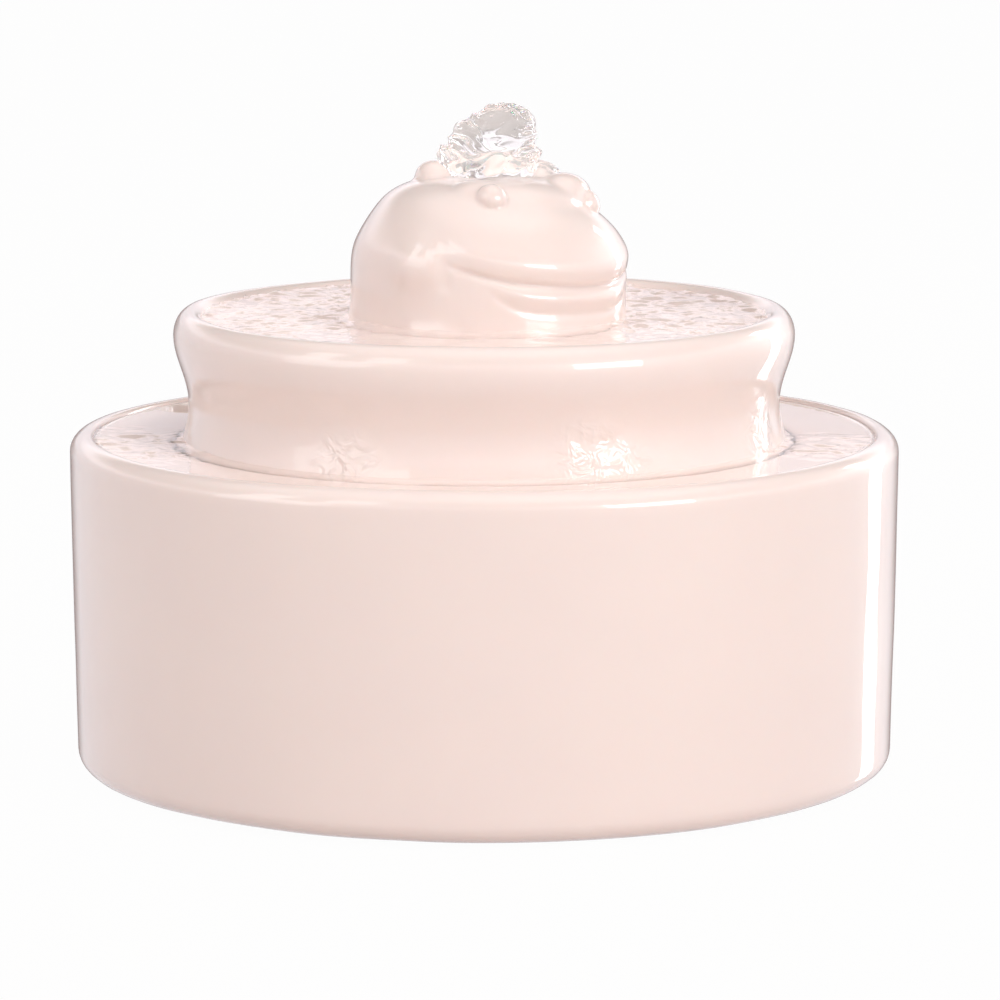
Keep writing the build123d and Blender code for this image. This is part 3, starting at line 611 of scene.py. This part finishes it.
def quarter(centre, width, height, from_side):
    """Points of a quarter of an ellipse: from its side up to its top, or from its top down to its side.
    KAPPA is the pull, as a share of the radius, at which a Bezier curve follows a circle."""
    x, z = centre
    side, top = (x + width, z), (x, z + height)
    side_pull, top_pull = (x + width, z + KAPPA * height), (x + KAPPA * width, z + height)
    if from_side:
        return curve(side, side_pull, top_pull, top)
    return curve(top, top_pull, side_pull, side)


foot_top = trough_z + 4.0 * MM
chamber_foot = (tier_foot - TIER_WALL, foot_top + 3.0 * MM)
inner_top = (waist_radius - TIER_WALL, ceiling_z)
tier = turned("upper_tier_shell", [
    (foot_bore, trough_z, 0.8 * MM),
    (tier_foot, trough_z, 1.0 * MM),
    *curve((tier_foot, foot_top), (tier_foot, foot_top + 6 * MM), (waist_radius, waist_z - 7 * MM),
           (waist_radius, waist_z)),
    *curve((waist_radius, waist_z), (waist_radius, waist_z + 7 * MM), (tier_high.x, lip_z - 6 * MM),
           (tier_high.x, lip_z)),
    *quarter((crest_radius, lip_z), tier_high.x - crest_radius, crest_z - lip_z, True),
    *quarter((crest_radius, wall_z), basin_radius - crest_radius, crest_z - wall_z, False),
    *quarter((floor_radius, wall_z), basin_radius - floor_radius, basin_z - wall_z, True),
    (floor_radius, basin_z, 0),
    (GROMMET_RADIUS, basin_z, 0.3 * MM),
    (GROMMET_RADIUS, ceiling_z, 0.3 * MM),
    (*inner_top, 1.5 * MM),
    *curve((inner_top[0], inner_top[1] - 3 * MM), (inner_top[0], inner_top[1] - 8 * MM),
           (chamber_foot[0], chamber_foot[1] + 6 * MM), chamber_foot),
    (*chamber_foot, 0),
    (foot_bore, foot_top, 0.8 * MM),
], closed=True)
hand_finish(tier)
# Bearing in degrees, and height in mm above the lower dish's edge, of each splash on the pedestal's foot.
SPLASHES = ((-66, 1), (-20, 5), (-14, 0), (26, 4), (95, 3), (150, 1), (-130, 4))
splashes = [(tier_foot * sin(radians(bearing)), -tier_foot * cos(radians(bearing)), dish_edge_z + up * MM)
            for bearing, up in SPLASHES]
tier_glaze = glaze("tier_glaze", ivory, rose_ivory, splashes)
dress(tier, tier_glaze)
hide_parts("upper_tier")
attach(tier, "upper_tier")

# Riser tube and its grommet: clear silicone tube from the pump up to the frog's head. A lipped silicone ring
# seals it in the upper dish's floor, and a silicone bush in the frog's head takes its end.
def silicone(name, tone, bloom, clear):
    """Milky silicone: a moulded skin that lets a share of the light through."""
    made = moulded(name, tone, bloom, 1300.0, 0.3, 0.42, 0.00002)
    shader = made.node_tree.nodes["Principled BSDF"]
    shader.inputs["Transmission Weight"].default_value = clear
    shader.inputs["IOR"].default_value = 1.41
    shader.inputs["Subsurface Weight"].default_value = 0.3
    shader.inputs["Subsurface Scale"].default_value = 2 * MM
    return made


paint("riser_tube", silicone("silicone_tube", colour(232, 230, 227), colour(244, 242, 240), 0.7))
grommet_rubber = silicone("grommet_rubber", colour(219, 216, 212), colour(233, 231, 228), 0.35)
paint("tube_grommet", grommet_rubber)
paint("spout_sleeve", grommet_rubber)

# Frog spout: slip-cast in one hollow piece, its feet, brows, eyes and crown lobes pressed on while soft and
# sponged in, its mouth and chin drawn with a loop tool. It stands over the ring on the upper dish's floor.
FROG_ROUNDNESS = 2.5
FROG_RADIUS = 36.7 * MM
FROG_SIDE = 25.0 * MM
FROG_WALL = 6.0 * MM
LOBE_STAND = 4.8 * MM
FROG_LEAN = Vector((0.9 * MM, -0.75 * MM, 0))
sleeve_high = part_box("spout_sleeve")[1]
outlet_z, sleeve_radius = sleeve_high.z, sleeve_high.x
head_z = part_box("frog_spout")[1].z - LOBE_STAND
frog_side_z = basin_z + FROG_SIDE


def dome(radius, height, steps=20):
    """Points (radius, height, 0) of the frog's back, from its upright side to its top. FROG_ROUNDNESS is the
    power of the curve: 2 is an ellipse, and more is squarer."""
    turns = [pi / 2 * step / steps for step in range(steps + 1)]
    power = 2 / FROG_ROUNDNESS
    return [(radius * max(cos(turn), 0) ** power, frog_side_z + height * sin(turn) ** power, 0)
            for turn in turns]


def press_on(bm, angle, out, height, size, across=0.0):
    """Adds an egg-shaped lump: degrees from the frog's facing direction, distance out, and height. Its size is
    its half width, half depth and half height, and across turns it, in degrees."""
    place = Matrix.Rotation(radians(angle), 4, "Z") @ Matrix.Translation((0, -out * MM, basin_z + height * MM))
    place @= Matrix.Rotation(radians(across), 4, "Y") @ Matrix.Diagonal((*[half * MM for half in size], 1))
    bmesh.ops.create_uvsphere(bm, u_segments=32, v_segments=20, radius=1, matrix=place)


def fuse_more(lump, bm, grain, strokes):
    """Fuses more solids onto a fused object."""
    bm.from_mesh(lump.data)
    name = lump.name
    bpy.data.objects.remove(lump)
    return fused(name, bm, grain, strokes)


# Each lump: its angle, its distance out, its height and its size, as press_on takes them.
FRONT_FOOT = (63, 31.5, 6, (13, 7.5, 9.5))
HIND_FOOT = (129, 32, 5, (11, 8, 11))
CHEEK = (72, 23, 27, (17, 15, 15))
INNER_TOE = (59, 32.8, 7.4, (5.8, 5.6, 8.8))
OUTER_TOE = (72, 32.8, 7.4, (5.8, 5.6, 8.8))
CHEST = (0, 28.3, 5, (18, 11, 12))
RIGHT_BROW = (-42, 18.5, 44.2, (10.5, 9, 6.0))
LEFT_BROW = (41, 20.6, 47.8, (9.2, 7.2, 5.6))
HEAD_TOP = (12, 11, 45.0, (21, 16, 6.4))
LOW_LOBE = (62, 13.5, 46.8, (7.6, 6.6, 5.8))
CROWN_ANGLES = (-130, 180, 130)
CROWN_LOBE = (14.0, 47.8, (6.2, 6.2, 5.8))
EYE = (37.8, 26.0, 45.2, (4.1, 4.1, 4.1))
ROOT = 8 * MM

# The body starts as a blank that reaches down past the dish's floor, where the hollow's tool cuts it off.
blank = turned("blank", [(0, basin_z - ROOT, 0), (FROG_RADIUS, basin_z - ROOT, 0),
                         *dome(FROG_RADIUS, head_z - frog_side_z)], steps=128)
body_bm = bmesh.new()
body_bm.from_mesh(blank.data)
bpy.data.objects.remove(blank)
for side in (-1, 1):
    for angle, *lump in (FRONT_FOOT, HIND_FOOT, CHEEK, INNER_TOE, OUTER_TOE):
        press_on(body_bm, angle * side, *lump)
for lump in (CHEST, RIGHT_BROW, LEFT_BROW, HEAD_TOP, LOW_LOBE):
    press_on(body_bm, *lump)
frog = fused("frog", body_bm, grain=0.8 * MM, strokes=26)

lobe_bm = bmesh.new()
for angle in CROWN_ANGLES:
    press_on(lobe_bm, angle, *CROWN_LOBE)
frog = fuse_more(frog, lobe_bm, grain=0.6 * MM, strokes=14)

eye_bm = bmesh.new()
for side in (-1, 1):
    press_on(eye_bm, EYE[0] * side, *EYE[1:])
frog = fuse_more(frog, eye_bm, grain=0.5 * MM, strokes=3)


def bell(distance, width):
    """1 at no distance, falling off smoothly to both sides, to about a third at the width."""
    return exp(-(distance / width) ** 2)


def fade(value, full, gone):
    """1 up to full, 0 past gone, with a smooth step between them."""
    share = min(max((gone - value) / (gone - full), 0), 1)
    return share * share * (3 - 2 * share)


MOUTH_HEIGHT, MOUTH_CURL, MOUTH_REACH = 24.1, 3.3, 50
CHIN_HEIGHT, CHIN_CURL, CHIN_REACH = 17.0, 5.0, 39
LIP_RISE = 4.9
CHEEK_CREASE = 58
TOE_CREASES = (77, 51)


def carve(height, angle):
    """How far the face stands out, in mm, at a height above the dish's floor and an angle from its middle."""
    side = abs(angle)
    mouth = MOUTH_HEIGHT + MOUTH_CURL * (side / MOUTH_REACH) ** 2.5
    chin = CHIN_HEIGHT + CHIN_CURL * (side / CHIN_REACH) ** 4
    lip = 0.75 * bell(height - mouth - LIP_RISE, 3.0) * fade(side, 44, 62)
    groove = -1.15 * bell(height - mouth, 0.9) * fade(side, 42, 60)
    roll = 0.75 * bell(height - 0.53 * mouth - 0.47 * chin, 1.9) * fade(side, 24, 42)
    tuck = -0.34 * bell(height - chin, 1.0) * fade(side, 28, 42)
    crease = -0.4 * bell(side - CHEEK_CREASE, 3.0) * fade(abs(height - 26), 2, 6)
    toes = -0.4 * sum(bell(side - toe, 4.5) for toe in TOE_CREASES) * fade(height, 8, 17)
    return lip + groove + roll + tuck + crease + toes


def sag(height, angle):
    """How far the back stands out, in mm, where its own weight drew it in on the right and out on the left."""
    right = -2.6 * bell(angle + 118, 46) * bell(height - 41, 8)
    left = 0.6 * bell(angle - 52, 34) * bell(height - 36, 8)
    return right + left


SLUMP = 0.06
SLUMP_LOW, SLUMP_HIGH = 3.0, 24.0
BROW_SLUMP = 0.045
BROW_LOW, BROW_HIGH = 33.0, 44.0
CARVED_TOP = head_z - 8 * MM


def faced(spot, normal):
    """The face is carved up to CARVED_TOP, and the head has slumped a little to its left in the kiln. The
    slump is a share of the distance from the middle, and comes in between a low and a high, in mm."""
    height = (spot.z - basin_z) / MM
    angle = degrees(atan2(spot.x, -spot.y))
    outward = Vector((spot.x, spot.y, 0)).normalized()
    carved = spot + outward * sag(height, angle) * min(outward.dot(spot) / FROG_RADIUS, 1) * MM
    if spot.z < CARVED_TOP:
        carved += outward * carve(height, angle) * MM
    carved.z -= SLUMP * spot.x * (1 - fade(height, SLUMP_LOW, SLUMP_HIGH))
    carved.z -= BROW_SLUMP * spot.x * (1 - fade(height, BROW_LOW, BROW_HIGH))
    return carved


reshape(frog, faced)
frog.data.transform(Matrix.Translation(FROG_LEAN))

SLEEVE_LENGTH = 14.0 * MM
SOCKET_WALL = 4.0 * MM
OUTLET_MARGIN = 0.8 * MM
socket_z = outlet_z - SLEEVE_LENGTH
socket_radius = sleeve_radius + SOCKET_WALL
outlet_radius = sleeve_radius + OUTLET_MARGIN
skirt_radius, skirt_z = 70 * MM, basin_z - 30 * MM
hollow = [point for point in dome(FROG_RADIUS - FROG_WALL, head_z - frog_side_z - FROG_WALL)
          if point[0] > socket_radius]
core = turned("core", [
    (0, skirt_z, 0),
    (skirt_radius, skirt_z, 0),
    (skirt_radius, basin_z, 0),
    (FROG_RADIUS - FROG_WALL, basin_z, 0.8 * MM),
    *hollow,
    (socket_radius, hollow[-1][1], 0),
    (socket_radius, socket_z, 0),
    (sleeve_radius, socket_z, 0),
    (sleeve_radius, outlet_z, 0),
    (outlet_radius, outlet_z, 0),
    (outlet_radius, head_z + CLEAR, 0),
    (0, head_z + CLEAR, 0),
], steps=128)
cut(frog, core)
frog_glaze = glaze("frog_glaze", ivory, rose_ivory)
dress(frog, frog_glaze)
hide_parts("frog_spout")
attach(frog, "frog")

# Running water: it wells up through the crown's lobes, runs down the frog into the upper dish, over its lip
# into the lower dish, and back through the drain to the reservoir.
water_clear, water_tree, water_shader, water_place = material("water")
water_shader.inputs["Transmission Weight"].default_value = 0.87
water_shader.inputs["IOR"].default_value = 1.333
water_ripple = node(water_tree, "TexNoise", Vector=water_place, Scale=160.0, Detail=2.0)
water_rough = node(water_tree, "MapRange", Value=water_ripple.outputs["Fac"], From_Min=0.4,
                   From_Max=0.7, To_Min=0.0, To_Max=0.02)
water_tree.links.new(water_rough.outputs["Result"], water_shader.inputs["Roughness"])
water_bump = node(water_tree, "Bump", Strength=0.15, Distance=0.0002,
                  Height=water_ripple.outputs["Fac"])
water_tree.links.new(water_bump.outputs["Normal"], water_shader.inputs["Normal"])
water_tint = node(water_tree, "Mix", {"data_type": "RGBA"}, Factor=water_ripple.outputs["Fac"],
                  _6=(0.995, 0.985, 0.98, 1), _7=(1, 1, 1, 1))
water_tree.links.new(water_tint.outputs[2], water_shader.inputs["Base Color"])
water_path = node(water_tree, "LightPath")
water_shade = node(water_tree, "BsdfTransparent", Color=(0.99, 0.985, 0.98, 1))
water_mix = node(water_tree, "MixShader", _0=water_path.outputs["Is Shadow Ray"],
                 _1=water_shader.outputs["BSDF"], _2=water_shade.outputs["BSDF"])
water_tree.links.new(water_mix.outputs[0], water_tree.nodes["Material Output"].inputs["Surface"])

# The swells that make up the plume. Each has its angle, distance out, height and size, as press_on takes them.
SWELLS = (
    (50, 4.4, 61.8, (9.0, 9.0, 7.0)),
    (50, 5.5, 64.0, (7.6, 7.6, 5.0)),
    (-130, 1.5, 59.5, (7.6, 7.6, 6.6)),
    (-130, 4.2, 56.0, (7.2, 7.6, 5.4)),
    (50, 7.4, 57.0, (7.0, 7.6, 5.0)),
    (50, 2.0, 52.6, (12.4, 12.4, 5.0)),
    (62, 13.5, 50.2, (8.6, 7.4, 3.8)),
    (-20, 5.5, 52.0, (7.0, 6.0, 4.4)),
)
plume_bm = bmesh.new()
for swell in SWELLS:
    press_on(plume_bm, *swell)
plume = fused("plume", plume_bm, grain=0.4 * MM, strokes=30)

SWIRL_SCALE = 70
SWIRL = 0.5 * MM
FOLD_SCALE, FOLD_SWIRL = 185, 2.4
CRINKLE_SCALE, CRINKLE_SWIRL = 270, 3.4
SHARPNESS = 2.6
CALM_BELOW, LIVELY_FROM = outlet_z + 1 * MM, outlet_z + 8 * MM


def churned(spot, normal):
    """Water churns more towards the top, in folds with sharp crests and fine crinkles between them."""
    if spot.z < CALM_BELOW:
        return spot
    lively = fade(LIVELY_FROM - spot.z, 0, LIVELY_FROM - CALM_BELOW)
    swirl = noise.noise_vector(spot * SWIRL_SCALE)
    drawn = Vector((spot.x * 0.7, spot.y * 0.7, spot.z * 1.3))
    fold = 1 - abs(noise.noise(drawn * FOLD_SCALE + swirl * FOLD_SWIRL)) * SHARPNESS
    crinkle = 1 - abs(noise.noise(drawn * CRINKLE_SCALE + swirl * CRINKLE_SWIRL)) * SHARPNESS
    out = (0.25 + 0.55 * lively) * fold + (0.1 + 0.15 * lively) * crinkle
    return spot + swirl * SWIRL + normal * out * MM


reshape(plume, churned)
dress(plume, water_clear)
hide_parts("water_plume")
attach(plume, "frog")


def pool(name, outline, body, closed=False, steps=384):
    """Round sheet of standing water with an even fine mesh. Its edges lie inside the ceramic round it."""
    sheet = turned(name, outline, closed=closed, steps=steps, grain=1.2 * MM)
    dress(sheet, water_clear)
    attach(sheet, body)
    return sheet


WAVE_SCALE = 230
CREST_SCALE = 150
SURFACE = 0.1 * MM


def stir(sheet, level, rough):
    """Ripples on a pool's surface: round waves, and crests that wind. rough gives their height in mm."""
    def moved(spot, normal):
        if spot.z < level - SURFACE:
            return spot
        swirl = noise.noise_vector(spot * SWIRL_SCALE)
        wave = noise.noise(spot * WAVE_SCALE + swirl * FOLD_SWIRL)
        crest = 1 - abs(noise.noise(spot * CREST_SCALE + swirl * CRINKLE_SWIRL)) * 2
        return spot + Vector((0, 0, (0.6 * wave + 0.5 * crest) * rough(spot) * MM))

    reshape(sheet, moved)


def bearing_of(spot):
    """Degrees round the object from the way that the frog faces, towards its left."""
    return degrees(atan2(spot.x, -spot.y))


def upper_rough(spot):
    """Ripples are weakest before the frog's right cheek, where the least water runs off its head."""
    return 0.85 - 0.6 * fade(abs(bearing_of(spot) + 40), 22, 62)


upper_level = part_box("upper_pool")[1].z
upper_edge = basin_radius + 1.6 * MM
upper_floor = basin_z - 1.0 * MM
upper_pool = pool("upper_water", [(0, upper_floor, 0), (upper_edge, upper_floor, 0),
                                  (upper_edge, upper_level, 0), (0, upper_level, 0)], "upper_tier")
stir(upper_pool, upper_level, upper_rough)
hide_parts("upper_pool")

def lower_rough(spot):
    """Ripples are strong at two bearings only, where the water falls from the lip."""
    bearing = bearing_of(spot)
    return 0.04 + 0.65 * max(fade(abs(bearing + 116), 9, 27), 0.8 * fade(abs(bearing - 36), 6, 20))


WATER_SKIN = 0.6 * MM
lower_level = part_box("lower_pool")[1].z
lower_floor = trough_z - 1.0 * MM
lower_inner = collar_outer + 2.0 * MM
lower_edge = seat_radius + 0.3 * MM
lower_pool = pool("lower_water", [
    (lower_inner, lower_floor, 0),
    (trough_radius - 1.0 * MM, lower_floor, 0),
    (dish_high.x - 1.0 * MM, lower_level - WATER_SKIN, 0),
    (lower_edge, lower_level - WATER_SKIN, 0),
    (lower_edge, lower_level, 0),
    (lower_inner, lower_level, 0),
], "lower_dish", closed=True, steps=512)
stir(lower_pool, lower_level, lower_rough)


DRAIN_DIP = 9.0 * MM
DIP_CORE, DIP_EDGE = 4 * MM, 10.5 * MM


def drained(spot, normal):
    """The water dips into the drain."""
    away = (Vector((spot.x, spot.y, 0)) - drain).length
    return spot - Vector((0, 0, DRAIN_DIP * fade(away, DIP_CORE, DIP_EDGE)))


reshape(lower_pool, drained)
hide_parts("lower_pool")

TANK_RIPPLE = 0.08
tank_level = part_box("impeller_cover")[1].z + 2.0 * MM
tank_edge, tank_floor = bowl_bore + 1.5 * MM, bowl_floor - 1.5 * MM
tank_water = pool("tank_water", [(0, tank_floor, 0), (tank_edge, tank_floor, 0),
                                 (tank_edge, tank_level, 0), (0, tank_level, 0)], "reservoir", steps=192)
stir(tank_water, tank_level, lambda spot: TANK_RIPPLE)

# Studio: a pale floor that looks white to the camera, soft lamps to the left, to the right, behind and above,
# and a long lens that looks down a little on the rim.
CAMERA_TURN = radians(-40)
CAMERA_PITCH = radians(9.0)
CAMERA_PLACE = (-0.9609, -1.1518, 0.309)
LENS, SENSOR = 204.3, 36
camera = bpy.data.objects.new("camera", bpy.data.cameras.new("camera"))
bpy.context.scene.collection.objects.link(camera)
camera.data.lens = LENS
camera.data.sensor_width = SENSOR
camera.location = CAMERA_PLACE
camera.rotation_euler = (radians(90) - CAMERA_PITCH, 0, CAMERA_TURN)
bpy.context.scene.camera = camera
LAMP_AIM = Vector((0, 0, 0.07))


def lamp(name, bearing, height, distance, width, tall, power, mirrored=True):
    """Soft lamp. Its bearing is in degrees from the camera's side of the object, towards the right. Its
    height, its distance from the axis and its size are in metres, and its power is in watts."""
    light = bpy.data.lights.new(name, "AREA")
    light.shape = "RECTANGLE"
    light.size, light.size_y = width, tall
    light.energy = power
    rig = bpy.data.objects.new(name, light)
    bpy.context.scene.collection.objects.link(rig)
    turn = CAMERA_TURN + radians(bearing)
    rig.location = (distance * sin(turn), -distance * cos(turn), height)
    rig.rotation_euler = (LAMP_AIM - rig.location).to_track_quat("-Z", "Y").to_euler()
    rig.visible_camera = False
    rig.visible_glossy = mirrored


lamp("key", 45, 0.42, 1.5, 0.7, 0.4, 7.5)
lamp("left_fill", -58, 0.42, 1.5, 1.0, 0.5, 2.4)
lamp("left_pane", -66, 0.95, 1.4, 0.34, 0.7, 1.9)
lamp("near_pane", -36, 0.9, 1.4, 0.42, 0.55, 1.7)
lamp("back_strip", 134, 0.16, 1.3, 0.22, 1.2, 4.6)
lamp("top", 40, 1.6, 0.7, 0.9, 0.9, 8.5, mirrored=False)

FLOOR_REACH = 6
FLOOR_WHITE = 0.975
floor_bm = bmesh.new()
bmesh.ops.create_grid(floor_bm, x_segments=2, y_segments=2, size=FLOOR_REACH)
floor = finished("floor", floor_bm)
floor_paint, floor_tree, floor_shader, floor_place = material("floor_paint")
floor_grain = node(floor_tree, "TexNoise", Vector=floor_place, Scale=9.0, Detail=3.0)
floor_tone = node(floor_tree, "Mix", {"data_type": "RGBA"}, Factor=floor_grain.outputs["Fac"],
                  _6=(0.56, 0.5, 0.47, 1), _7=(0.62, 0.55, 0.52, 1))
floor_tree.links.new(floor_tone.outputs[2], floor_shader.inputs["Base Color"])
floor_shader.inputs["Roughness"].default_value = 0.6
floor_glow = node(floor_tree, "Emission", Strength=1.0)
floor_path = node(floor_tree, "LightPath")
floor_share = node(floor_tree, "Math", {"operation": "MULTIPLY"},
                   _0=floor_path.outputs["Is Camera Ray"], _1=FLOOR_WHITE)
floor_mix = node(floor_tree, "MixShader", _0=floor_share.outputs[0],
                 _1=floor_shader.outputs["BSDF"], _2=floor_glow.outputs["Emission"])
floor_tree.links.new(floor_mix.outputs[0], floor_tree.nodes["Material Output"].inputs["Surface"])
dress(floor, floor_paint)
floor.visible_glossy = False

world = bpy.data.worlds.new("studio")
bpy.context.scene.world = world
world.use_nodes = True
sky_tree = world.node_tree
sky_fill = sky_tree.nodes["Background"]
sky_fill.inputs["Strength"].default_value = 1.0
sky_direction = node(sky_tree, "TexCoord").outputs["Generated"]
sky_axes = node(sky_tree, "SeparateXYZ", Vector=sky_direction)
sky_ramp = node(sky_tree, "ValToRGB", Fac=sky_axes.outputs["Z"])
stops = sky_ramp.color_ramp.elements
stops[0].position, stops[0].color = 0.0, (0.9, 0.87, 0.91, 1)
stops[1].position, stops[1].color = 1.0, (0.86, 0.8, 0.8, 1)
# The room that the glaze and the water mirror: bright low walls, a dim band, and a bright ceiling. Each stop is
# the upward part of a direction, its tone, and the share of blue in that.
ROOM_STOPS = ((0.17, 0.95, 1.0), (0.22, 1.4, 1.0), (0.3, 1.4, 0.98), (0.36, 0.86, 0.92), (0.45, 0.24, 0.9),
              (0.7, 0.24, 0.9), (0.84, 0.84, 0.92))
ROOM_GREEN = 0.94
for position, tone, blue in ROOM_STOPS:
    stops.new(position).color = (tone, tone * ROOM_GREEN, tone * blue, 1)
sky_path = node(sky_tree, "LightPath")
sky_away = node(sky_tree, "VectorMath", {"operation": "DOT_PRODUCT"}, _0=sky_direction,
                _1=(-sin(CAMERA_TURN), cos(CAMERA_TURN), 0))
sky_back = node(sky_tree, "MapRange", Value=sky_away.outputs["Value"], From_Min=0.9, From_Max=0.96)
sky_low = node(sky_tree, "MapRange", Value=sky_axes.outputs["Z"], From_Min=0.02, From_Max=0.08,
               To_Min=1.0, To_Max=0.0)
sky_dusk = node(sky_tree, "Math", {"operation": "MULTIPLY"}, _0=sky_back.outputs["Result"],
                _1=sky_low.outputs["Result"])
sky_edge = node(sky_tree, "Math", {"operation": "MULTIPLY"}, _0=sky_dusk.outputs[0],
                _1=sky_path.outputs["Is Glossy Ray"])
sky_room = node(sky_tree, "Mix", {"data_type": "RGBA"}, Factor=sky_edge.outputs[0],
                _6=sky_ramp.outputs["Color"], _7=(0.3, 0.25, 0.25, 1))
sky_seen = node(sky_tree, "Math", {"operation": "MAXIMUM"}, _0=sky_path.outputs["Is Glossy Ray"],
                _1=sky_path.outputs["Is Transmission Ray"])
sky_soft = node(sky_tree, "Mix", {"data_type": "RGBA"}, Factor=sky_seen.outputs[0],
                _6=(0.55, 0.53, 0.53, 1), _7=sky_room.outputs[2])
sky_white = node(sky_tree, "Mix", {"data_type": "RGBA"}, Factor=sky_path.outputs["Is Camera Ray"],
                 _6=sky_soft.outputs[2], _7=(1, 1, 1, 1))
sky_tree.links.new(sky_white.outputs[2], sky_fill.inputs["Color"])

bpy.context.scene.view_settings.view_transform = "Standard"
